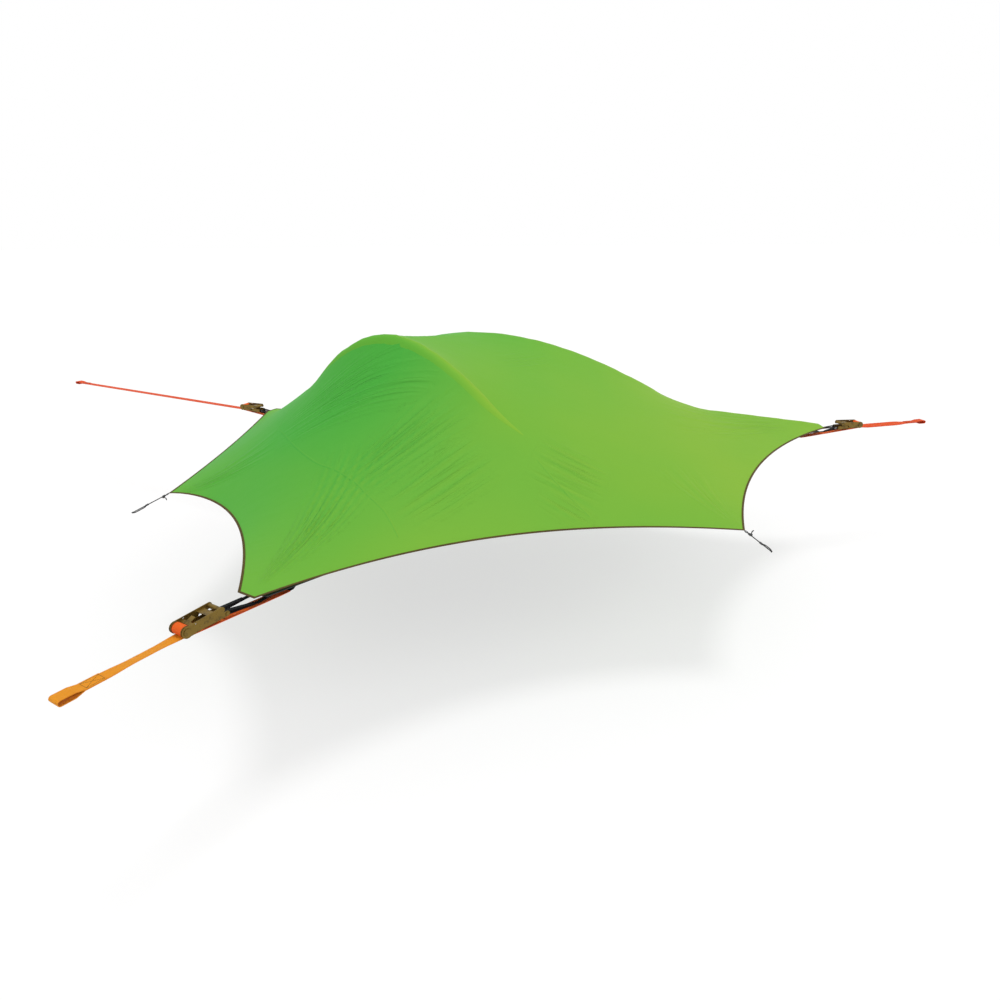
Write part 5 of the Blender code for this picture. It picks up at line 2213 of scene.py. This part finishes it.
@dataclass
class InnerTent:
    """The mesh canopy with its door, the door's flap and zip."""

    finishes: FinishSet
    spacing: float = 0.075
    thickness: float = 0.0010
    rim_inset: float = 0.042
    below_pole: float = 0.0085
    door_left: float = 0.180
    door_right: float = 0.920
    door_lower: float = 0.090
    door_depth: float = 0.430
    door_corner: float = 0.080
    flap_margin: float = 0.030
    flap_spacing: float = 0.035
    ripple_depth: float = 0.0075
    zip_tape: StripShape = StripShape(0.022, 0.0004, 0.0006)
    zip_teeth: StripShape = StripShape(0.005, 0.0012, 0.0018)
    sill_tape: StripShape = StripShape(0.020, 0.0004, 0.0006)

    def build(self) -> None:
        """Builds the canopy and its door."""
        start, end = PLAN.floor_side(Side.FRONT)
        middle = (self.door_left + self.door_right) / 2
        share = (middle - start.x) / (end.x - start.x)
        sill = PLAN.place_on_side(Side.FRONT, share, self.rim_inset)
        along = (end - start).normalized()
        inward = Vector((-along.y, along.x, 0))
        turn = Matrix((along, inward, Vector((0, 0, 1)))).transposed().to_4x4()
        self.door_frame = Matrix.Translation(sill + inward * self.door_lower) @ turn
        self.flap_frame = Matrix.Translation(sill + inward * self.flap_margin) @ turn
        width = self.door_right - self.door_left
        self.build_canopy(width)
        self.build_flap(width - 2 * self.flap_margin)

    def door(self, width: float) -> list[Place]:
        """A door's outline: a straight sill and two round upper corners.

        Args:
            width: Its width.

        Returns:
            The outline's points, anticlockwise.
        """
        half, corner, depth = width / 2, self.door_corner, self.door_depth
        points = [(-half + width * i / 10, 0.0) for i in range(11)]
        points += [(half, (depth - corner) * k / 5) for k in range(1, 5)]
        for centre, first in ((half - corner, 0), (corner - half, 90)):
            for i in range(7):
                turn = math.radians(first + 90 * i / 6)
                points.append((centre + corner * math.cos(turn), depth - corner + corner * math.sin(turn)))
            if first == 0:
                inner = half - corner
                points += [(inner - 2 * inner * k / 8, depth) for k in range(1, 8)]
        points += [(-half, (depth - corner) * k / 5) for k in range(4, 0, -1)]
        return points

    def build_canopy(self, width: float) -> None:
        """The net roof, its door opening, seam tapes and zip.

        Args:
            width: The door's width.
        """
        rim_height = PLAN.floor_top + PLAN.cloth_gap + self.thickness
        rim = inset(PLAN.floor_outline(self.spacing), self.rim_inset)
        rim = [p + Vector((0, 0, rim_height)) for p in rim]
        ridges = [refined(lifted(line, -self.below_pole)[3:-3], self.spacing)
                  for line in (PLAN.front_pole_line(), PLAN.long_pole_line())]
        opening = turned(self.door(width), self.door_frame)
        sheet = Membrane("canopy_net", rim, ridges, self.spacing, opening).build()
        surface = ClothSurface(sheet)
        add_rounding(sheet, 1)
        add_wall(sheet, self.thickness)
        apply_modifiers(sheet)
        shade(sheet, 60.0)
        finish_piece(sheet, "tent", self.finishes.net, ["mesh_canopy"])
        outline = [Vector((p.x, p.y, 0)) for p in opening]
        frame_line = refined(outline[10:] + outline[:1], 0.02)
        sill_line = refined(outline[:11], 0.02)
        tape, moulding = ("mesh_fabric", self.finishes.floor), ("black_plastic", self.finishes.plastic)
        for name, line, shape, (slot, finish) in (
            ("door_zip_tape", frame_line, self.zip_tape, tape),
            ("door_zip_teeth", frame_line, self.zip_teeth, moulding),
            ("door_sill_tape", sill_line, self.sill_tape, tape),
        ):
            finish_piece(surface.strip(name, line, shape), "tent", finish)

    def build_flap(self, width: float) -> None:
        """The door's flap, let down on the floor in soft ripples.

        Args:
            width: The flap's width.
        """
        level = PLAN.floor_top + PLAN.cloth_gap + self.thickness
        outline = [p + Vector((0, 0, level)) for p in turned(self.door(width), self.flap_frame)]
        flap = Membrane("door_flap_net", outline, [], self.flap_spacing).build()
        back = self.flap_frame.inverted()
        for vert in flap.data.vertices:
            place = back @ vert.co
            ripple = 0.5 + 0.5 * math.sin(place.x * 21 + 2.1 * math.sin(place.y * 9.0))
            rim = min(1.0, max(0.0, place.y / 0.06))
            vert.co.z += self.ripple_depth * ripple * rim * (0.5 + 0.5 * math.sin(place.y * 17 + 1.0))
        add_rounding(flap, 1, "ALL")
        add_wall(flap, self.thickness, 1.0)
        apply_modifiers(flap)
        shade(flap, 60.0)
        finish_piece(flap, "tent", self.finishes.net, ["door_flap"])


@dataclass
class Floor:
    """The stretched floor, its seams, the webbing under its edges and the corner patches."""

    finishes: FinishSet
    spacing: float = 0.080
    thickness: float = 0.0024
    webbing_width: float = 0.025
    webbing_thickness: float = 0.0024
    patch_length: float = 0.215
    patch_width: float = 0.110
    patch_thickness: float = 0.0020
    stitch_margin: float = 0.003
    panel_lines: tuple[float, ...] = (-0.75, 0.15)

    def build(self) -> None:
        """Builds the floor's pieces."""
        outline = PLAN.floor_outline(self.spacing)
        sheet = Membrane("floor_cloth", outline, [], self.spacing).build()
        add_wall(sheet, self.thickness)
        apply_modifiers(sheet)
        shade(sheet, 60.0)
        finish_piece(sheet, "tent", self.finishes.floor, ["floor"])
        for side in SIDE_ORDER:
            self.build_webbing(side)
        for corner in Corner:
            self.build_patch(corner)
        self.build_panels()

    def build_webbing(self, side: Side) -> None:
        """The webbing sewn under one edge.

        Args:
            side: The side.
        """
        line = PLAN.floor_edge(side, self.spacing)
        start, end = PLAN.floor_side(side)
        run = (end - start).normalized()
        normal = Vector((-run.y, run.x, 0))
        trim = self.patch_length * 1.12
        line = [p for p in line if trim < (p - start).dot(run) < (end - start).dot(run) - trim]
        middle = [p + normal * self.webbing_width / 2 for p in line]
        top = -PLAN.floor_top - PLAN.cloth_gap
        under = top - self.webbing_thickness
        strip = self.flat_strip(f"{side.value}_floor_webbing", middle, self.webbing_width, under, top)
        finish_piece(strip, "tent", self.finishes.black, [f"{side.value}_edge_webbing"])
        offset = normal * (self.webbing_width / 2 - self.stitch_margin)
        lines = [[p + offset * k + Vector((0, 0, under - p.z)) for p in middle] for k in (-1, 1)]
        Stitching(self.finishes, 0.012, 0.008, 0.0009).rows(
            f"{side.value}_webbing_stitches", lines, Vector((0, 0, -1)), "tent", "black_webbing"
        )

    @staticmethod
    def flat_strip(name: str, line: Line, width: float, low: float, high: float) -> Piece:
        """A level strip along a line, with UVs in metres.

        Args:
            name: The piece's name.
            line: Its middle line.
            width: Its width.
            low: Its lower height.
            high: Its upper height.

        Returns:
            The new object.
        """
        verts, faces, uvs, length = [], [], [], 0.0
        for i, point in enumerate(line):
            run = (line[min(i + 1, len(line) - 1)] - line[max(i - 1, 0)]).to_2d().normalized()
            side = Vector((-run.y, run.x, 0)) * width / 2
            length += (point - line[i - 1]).length if i else 0.0
            for k in (-1, 1):
                place = point + side * k
                verts.append((place.x, place.y, (low + high) / 2))
                uvs.append((length, k * width / 2))
        for i in range(len(line) - 1):
            faces.append((2 * i, 2 * i + 1, 2 * i + 3, 2 * i + 2))
        obj = mesh_piece(name, verts, faces)
        layer = obj.data.uv_layers.new(name="UVMap")
        for loop in obj.data.loops:
            layer.data[loop.index].uv = uvs[loop.vertex_index]
        face_up(obj)
        add_wall(obj, high - low)
        apply_modifiers(obj)
        return shade(obj, 40.0)

    def build_patch(self, corner: Corner) -> None:
        """The reinforcing patch under one corner.

        Args:
            corner: The corner.
        """
        tip, base = 0.030, self.patch_width / 2
        far, near = PLAN.floor_reach, PLAN.floor_reach - self.patch_length
        frame = Matrix.Rotation(PLAN.angle(corner), 4, "Z")
        obj = added(bpy.ops.mesh.primitive_grid_add, x_subdivisions=6, y_subdivisions=4, size=1.0)
        for vert in obj.data.vertices:
            share = vert.co.x + 0.5
            half = base + (tip - base) * share
            vert.co = (near + (far - near) * share, vert.co.y * 2 * half, 0.0)
        add_wall(obj, self.patch_thickness)
        add_bevel(obj, "soft_edges", 0.0005, 1)
        apply_modifiers(obj)
        middle = -PLAN.floor_top - PLAN.cloth_gap - self.patch_thickness / 2
        obj.data.transform(frame @ Matrix.Translation((0, 0, middle)))
        obj.name = f"{corner.value}_corner_patch"
        shade(obj, 40.0)
        finish_piece(obj, "tent", self.finishes.patch, [f"{corner.value}_floor_patch"])
        low = middle - self.patch_thickness / 2
        edge = 0.010
        points = [(near + edge, -base + edge * 1.4), (far - edge, -tip + edge * 0.6),
                  (far - edge, tip - edge * 0.6), (near + edge, base - edge * 1.4)]
        points.append(points[0])
        lines = [[frame @ Vector((x, y, low)) for x, y in points]]
        Stitching(self.finishes).rows(
            f"{corner.value}_patch_stitches", lines, Vector((0, 0, -1)), "tent", "black_webbing"
        )

    def build_panels(self) -> None:
        """The seams between the floor's panels, on its underside."""
        for index, x in enumerate(self.panel_lines):
            reach = 1.05 - 0.36 * (x + 1.5)
            line = [Vector((x, -reach + 2 * reach * i / 30, 0)) for i in range(31)]
            top = -PLAN.floor_top - PLAN.cloth_gap
            strip = self.flat_strip(f"floor_panel_seam_{index}", line, 0.016, top - 0.0009, top)
            finish_piece(strip, "tent", self.finishes.floor)


@dataclass
class PoleFittings:
    """The ferrules that join a pole's lengths, and the clips that the canopy hangs from."""

    name: str
    line: Line
    finishes: FinishSet
    length_of_tube: float = 0.46
    ferrule_length: float = 0.042
    ferrule_rise: float = 0.0009
    clip_spacing: float = 0.34
    clip_wire: float = 0.0011

    def build(self) -> None:
        """Builds the fittings."""
        self.lengths = [0.0]
        for before, after in zip(self.line, self.line[1:]):
            self.lengths.append(self.lengths[-1] + (after - before).length)
        ferrules = [self.ferrule(at) for at in self.places(self.length_of_tube)]
        self.gathered(ferrules, f"{self.name}_ferrules", "pole_alloy", self.finishes.zip)
        clips = [self.clip(at) for at in self.places(self.clip_spacing)]
        self.gathered(clips, f"{self.name}_canopy_clips", "black_plastic", self.finishes.plastic)

    def places(self, spacing: float) -> list[float]:
        """Even places along the pole, its ends left out.

        Args:
            spacing: The distance between them, roughly.

        Returns:
            The distances from the first end.
        """
        total = self.lengths[-1]
        count = max(2, round(total / spacing))
        return [total * i / count for i in range(1, count)]

    def frame_at(self, distance: float) -> Matrix:
        """A frame on the pole: Z along it, X level and across it.

        Args:
            distance: The distance from its first end.

        Returns:
            The matrix from that frame to the tent's.
        """
        index = max(i for i, length in enumerate(self.lengths[:-1]) if length <= distance)
        start, end = self.line[index], self.line[index + 1]
        along = (end - start).normalized()
        place = start + along * (distance - self.lengths[index])
        across = along.cross(Vector((0, 0, 1))).normalized()
        turn = Matrix((across, along.cross(across), along)).transposed().to_4x4()
        return Matrix.Translation(place) @ turn

    def ferrule(self, distance: float) -> Piece:
        """One ferrule: a sleeve with rolled ends.

        Args:
            distance: Its place along the pole.

        Returns:
            The new object.
        """
        radius = PLAN.pole_radius + self.ferrule_rise
        obj = added(
            bpy.ops.mesh.primitive_cylinder_add, vertices=24, radius=radius, depth=self.ferrule_length
        )
        add_bevel(obj, "rolled_ends", 0.0006, 2)
        apply_modifiers(obj)
        obj.data.transform(self.frame_at(distance))
        return obj

    def clip(self, distance: float) -> Piece:
        """One clip: a ring round the pole.

        Args:
            distance: Its place along the pole.

        Returns:
            The new object.
        """
        obj = added(
            bpy.ops.mesh.primitive_torus_add, major_radius=PLAN.pole_radius + self.clip_wire,
            minor_radius=self.clip_wire, major_segments=24, minor_segments=8,
        )
        stretched(obj, (1.0, 1.0, 4.5))
        obj.data.transform(self.frame_at(distance))
        return obj

    @staticmethod
    def gathered(pieces: Sequence[Piece], name: str, slot: str, material: Material) -> Piece:
        """Joins repeated pieces and finishes them."""
        return finish_piece(shade(joined(pieces, name), 40.0), "tent", material)


@dataclass
class GuyLine:
    """One guy: its ring, and its cord with a cord lock and an adjusting loop that runs back from the runner.
    """

    side: str
    start: Point
    run: Point
    finishes: FinishSet
    ring_radius: float = 0.0090
    ring_wire: float = 0.0022
    ring_seat: float = 0.0039
    cord_radius: float = 0.0026
    loop_gap: float = 0.0066
    runner_share: float = 0.55
    runner_length: float = 0.018
    lock_radius: float = 0.0070
    far_margin: float = 0.004
    end_knot_radius: float = 0.0048
    ring_knot_radius: float = 0.0058
    knot_tail: tuple[Point, ...] = (
        (0.010, 0.0, 0.003), (0.013, 0.002, 0.009), (0.010, 0.004, 0.019), (0.014, 0.004, 0.027)
    )

    def build(self) -> None:
        """Builds the guy's pieces."""
        run = Vector(self.run)
        turn = Vector((1, 0, 0)).rotation_difference(run.normalized()).to_matrix().to_4x4()
        self.frame = Matrix.Translation(self.start) @ turn
        centre = self.ring_radius + self.ring_wire + self.ring_seat
        ring = added(
            bpy.ops.mesh.primitive_torus_add, major_radius=self.ring_radius, minor_radius=self.ring_wire,
            major_segments=36, minor_segments=12,
        )
        ring.name = f"{self.side}_tip_ring"
        ring.data.transform(self.frame @ Matrix.Translation((centre, 0, 0)))
        shade(ring, 60.0)
        finish_piece(ring, "tent", self.finishes.plastic, [f"{self.side}_guy_ring"])
        first = centre + self.ring_radius + self.ring_wire + PLAN.cloth_gap
        last = run.length - self.far_margin
        middle = first + (run.length - first) * self.runner_share
        points = [Vector((first + (last - first) * i / 16, 0, 0)) for i in range(17)]
        cord = self.cord(f"{self.side}_guy_line", points)
        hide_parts(f"{self.side}_guy_cord")
        gap, near = self.loop_gap, middle + self.runner_length / 2 + 0.002
        back = [Vector((near, 0, 0.001 + gap * 0.3)), Vector((near + 0.010, 0, gap * 0.9)),
                Vector((last - 0.020, 0, gap)), Vector((last - 0.008, 0, gap * 0.8)),
                Vector((last, 0, gap * 0.35))]
        loop = self.cord(f"{self.side}_adjusting_loop", refined(back, 0.005))
        tail = [Vector((first + x, y, z)) for x, y, z in self.knot_tail]
        end = self.cord(f"{self.side}_knot_tail", refined(tail, 0.004))
        knots = [self.knot(f"{self.side}_end_knot", last + 0.001, self.end_knot_radius),
                 self.knot(f"{self.side}_ring_knot", first + 0.005, self.ring_knot_radius),
                 self.lock(first + 0.015)]

    def cord(self, name: str, points: Line) -> Piece:
        """A length of cord.

        Args:
            name: The piece's name.
            points: Its centre points in the guy's frame.

        Returns:
            The new object.
        """
        curve = bpy.data.curves.new(name, "CURVE")
        curve.dimensions = "3D"
        curve.bevel_depth = self.cord_radius
        curve.bevel_resolution = 3
        curve.use_fill_caps = True
        curve.render_resolution_u = 0
        spline = curve.splines.new("POLY")
        spline.points.add(len(points) - 1)
        for point, place in zip(spline.points, points):
            point.co = (*(self.frame @ place), 1.0)
        cord = bpy.data.objects.new(name, curve)
        bpy.context.scene.collection.objects.link(cord)
        return finish_piece(cord, "tent", self.finishes.cord)

    def lock(self, place: float) -> Piece:
        """The cord lock below the ring: a barrel with rounded ends.

        Args:
            place: Its place along the cord.

        Returns:
            The new object.
        """
        radius = self.lock_radius
        barrel = added(bpy.ops.mesh.primitive_cylinder_add, vertices=24, radius=radius, depth=radius * 2)
        add_bevel(barrel, "rounded_ends", 0.0022, 3)
        apply_modifiers(barrel)
        seat = Matrix.Translation((place, 0, 0.002)) @ Matrix.Rotation(1.2, 4, "Y")
        barrel.data.transform(self.frame @ seat)
        barrel.name = f"{self.side}_cord_lock"
        shade(barrel, 40.0)
        return finish_piece(barrel, "tent", self.finishes.plastic)

    def knot(self, name: str, place: float, radius: float) -> Piece:
        """A knot of two crossed turns.

        Args:
            name: The piece's name.
            place: Its place along the cord.
            radius: Its radius.

        Returns:
            The new object.
        """
        turns = []
        for tilt in (0.5, -0.6):
            turn = added(
                bpy.ops.mesh.primitive_torus_add, major_radius=radius * 0.62, minor_radius=radius * 0.40,
                major_segments=20, minor_segments=8,
            )
            turn.data.transform(Matrix.Rotation(math.pi / 2 + tilt, 4, "Y"))
            turns.append(turn)
        knot = joined(turns, name)
        knot.data.transform(self.frame @ Matrix.Translation((place, 0, 0)))
        shade(knot, 60.0)
        return finish_piece(knot, "tent", self.finishes.cord)


@dataclass
class Studio:
    """The pale floor, the light and the camera."""

    floor_height: float = -0.85
    floor_size: float = 160.0
    floor_glow: float = 0.595
    floor_lit: float = 0.80
    floor_seen: float = 0.40
    world_light: float = 0.62
    world_seen: float = 0.38
    suns: tuple[tuple[str, Point, float, float], ...] = (
        ("top_sun", (0.10, 0.06, 1.00), 1.00, 18.0),
        ("right_sun", (0.75, -0.45, 0.60), 0.55, 45.0),
        ("front_sun", (-0.50, -0.90, 0.70), 0.45, 60.0),
    )
    camera_place: Point = (-1.2557, -3.9902, 1.3224)
    azimuth: float = -0.26384
    elevation: float = 0.37274
    focal: float = 697.88
    sensor: float = 36.0
    picture_width: float = 1000.0

    def build(self) -> None:
        """Builds the studio."""
        self.build_floor()
        self.build_world()
        self.build_lamps()
        self.build_camera()
        bpy.context.scene.view_settings.view_transform = "Standard"

    def build_floor(self) -> None:
        """The floor, white where no shadow falls and unseen from below."""
        place = (0, 0, self.floor_height)
        floor = added(bpy.ops.mesh.primitive_plane_add, size=self.floor_size, location=place)
        floor.name = "studio_floor"
        material = bpy.data.materials.new("pale_floor")
        material.use_nodes = True
        nodes = Nodes(material.node_tree)
        material.node_tree.nodes.remove(material.node_tree.nodes["Principled BSDF"])
        output = material.node_tree.nodes["Material Output"]
        diffuse = nodes.add("ShaderNodeBsdfDiffuse")
        glow = nodes.add("ShaderNodeEmission")
        glow.inputs["Color"].default_value = (1, 1, 1, 1)
        _, seen = nodes.seen()
        nodes.link(nodes.math("MULTIPLY", seen, self.floor_glow), glow.inputs["Strength"])
        grey = nodes.mix(seen, (self.floor_lit,) * 3, (self.floor_seen,) * 3)
        nodes.link(grey, diffuse.inputs["Color"])
        both = nodes.add("ShaderNodeAddShader")
        nodes.link(diffuse.outputs[0], both.inputs[0])
        nodes.link(glow.outputs[0], both.inputs[1])
        clear = nodes.add("ShaderNodeBsdfTransparent")
        side = nodes.add("ShaderNodeNewGeometry")
        shown = nodes.add("ShaderNodeMixShader")
        nodes.link(side.outputs["Backfacing"], shown.inputs[0])
        nodes.link(both.outputs[0], shown.inputs[1])
        nodes.link(clear.outputs[0], shown.inputs[2])
        nodes.link(shown.outputs[0], output.inputs["Surface"])
        floor.data.materials.append(material)

    def build_world(self) -> None:
        """White to the camera, softer as light."""
        world = bpy.data.worlds.new("studio_world")
        bpy.context.scene.world = world
        world.use_nodes = True
        nodes = Nodes(world.node_tree)
        background = world.node_tree.nodes["Background"]
        light_path, seen = nodes.seen()
        seen = nodes.math("MAXIMUM", seen, light_path.outputs["Is Transmission Ray"])
        strength = nodes.math("MULTIPLY_ADD", seen, self.world_seen, self.world_light)
        background.inputs["Color"].default_value = (1, 1, 1, 1)
        nodes.link(strength, background.inputs["Strength"])

    def build_lamps(self) -> None:
        """A broad sun from above, and weaker ones from the right and the front."""
        for name, heading, strength, angle in self.suns:
            lamp = bpy.data.lights.new(name, "SUN")
            lamp.energy = strength
            lamp.angle = math.radians(angle)
            obj = bpy.data.objects.new(name, lamp)
            bpy.context.scene.collection.objects.link(obj)
            obj.rotation_euler = Vector(heading).to_track_quat("Z", "Y").to_euler()

    def build_camera(self) -> None:
        """The camera at the photograph's angle."""
        data = bpy.data.cameras.new("camera")
        data.sensor_width = self.sensor
        data.sensor_fit = "HORIZONTAL"
        data.lens = self.focal * self.sensor / self.picture_width
        data.clip_end = 300.0
        camera = bpy.data.objects.new("camera", data)
        bpy.context.scene.collection.objects.link(camera)
        back = Vector((
            math.sin(self.azimuth) * math.cos(self.elevation),
            -math.cos(self.azimuth) * math.cos(self.elevation),
            math.sin(self.elevation),
        ))
        right = Vector((math.cos(self.azimuth), math.sin(self.azimuth), 0))
        up = back.cross(right)
        turn = Matrix((right, up, back)).transposed().to_4x4()
        camera.matrix_world = Matrix.Translation(self.camera_place) @ turn
        bpy.context.scene.camera = camera


def dress_solids(frame: dict, finishes: FinishSet) -> None:
    """Gives the rigid solids their materials.

    Args:
        frame: The loaded frame.
        finishes: The tent's materials.
    """
    for name, obj in frame["nodes"].items():
        if name.endswith(("_ratchet_frame", "_ratchet_handle", "_ratchet_spool", "_pawl", "_end_bolt")):
            material = finishes.steel
        elif name.endswith("_pole"):
            material = finishes.alloy
        elif name.endswith(("_foot", "_runner")):
            material = finishes.plastic
        else:
            continue
        obj.data.materials.clear()
        obj.data.materials.append(material)


def main() -> None:
    """Builds the whole scene."""
    logging.basicConfig(level=logging.INFO, format="%(message)s")
    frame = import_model()
    Studio().build()
    finishes = FinishSet()
    dress_solids(frame, finishes)
    RainFly(finishes).build()
    InnerTent(finishes).build()
    Floor(finishes).build()
    PoleFittings("front_pole", PLAN.front_pole_line(), finishes).build()
    PoleFittings("long_pole", PLAN.long_pole_line(), finishes).build()
    for corner, reach, twist in (
        (Corner.FRONT_LEFT, 2.800, 10.5), (Corner.BACK_LEFT, 4.500, 0.0), (Corner.RIGHT, 2.945, 15.0)
    ):
        CornerSuspension(corner, finishes, reach, strap_twist=math.radians(twist)).build()
    GuyLine("left", PLAN.left_guy, (-0.211, 0.0, -0.098), finishes).build()
    GuyLine("front", PLAN.front_guy, (0.061, -0.152, -0.057), finishes).build()
    x, y, z = PLAN.front_guy
    GuyLine("back", (x, -y, z), (0.061, 0.152, -0.057), finishes).build()


if __name__ == "__main__":
    main()
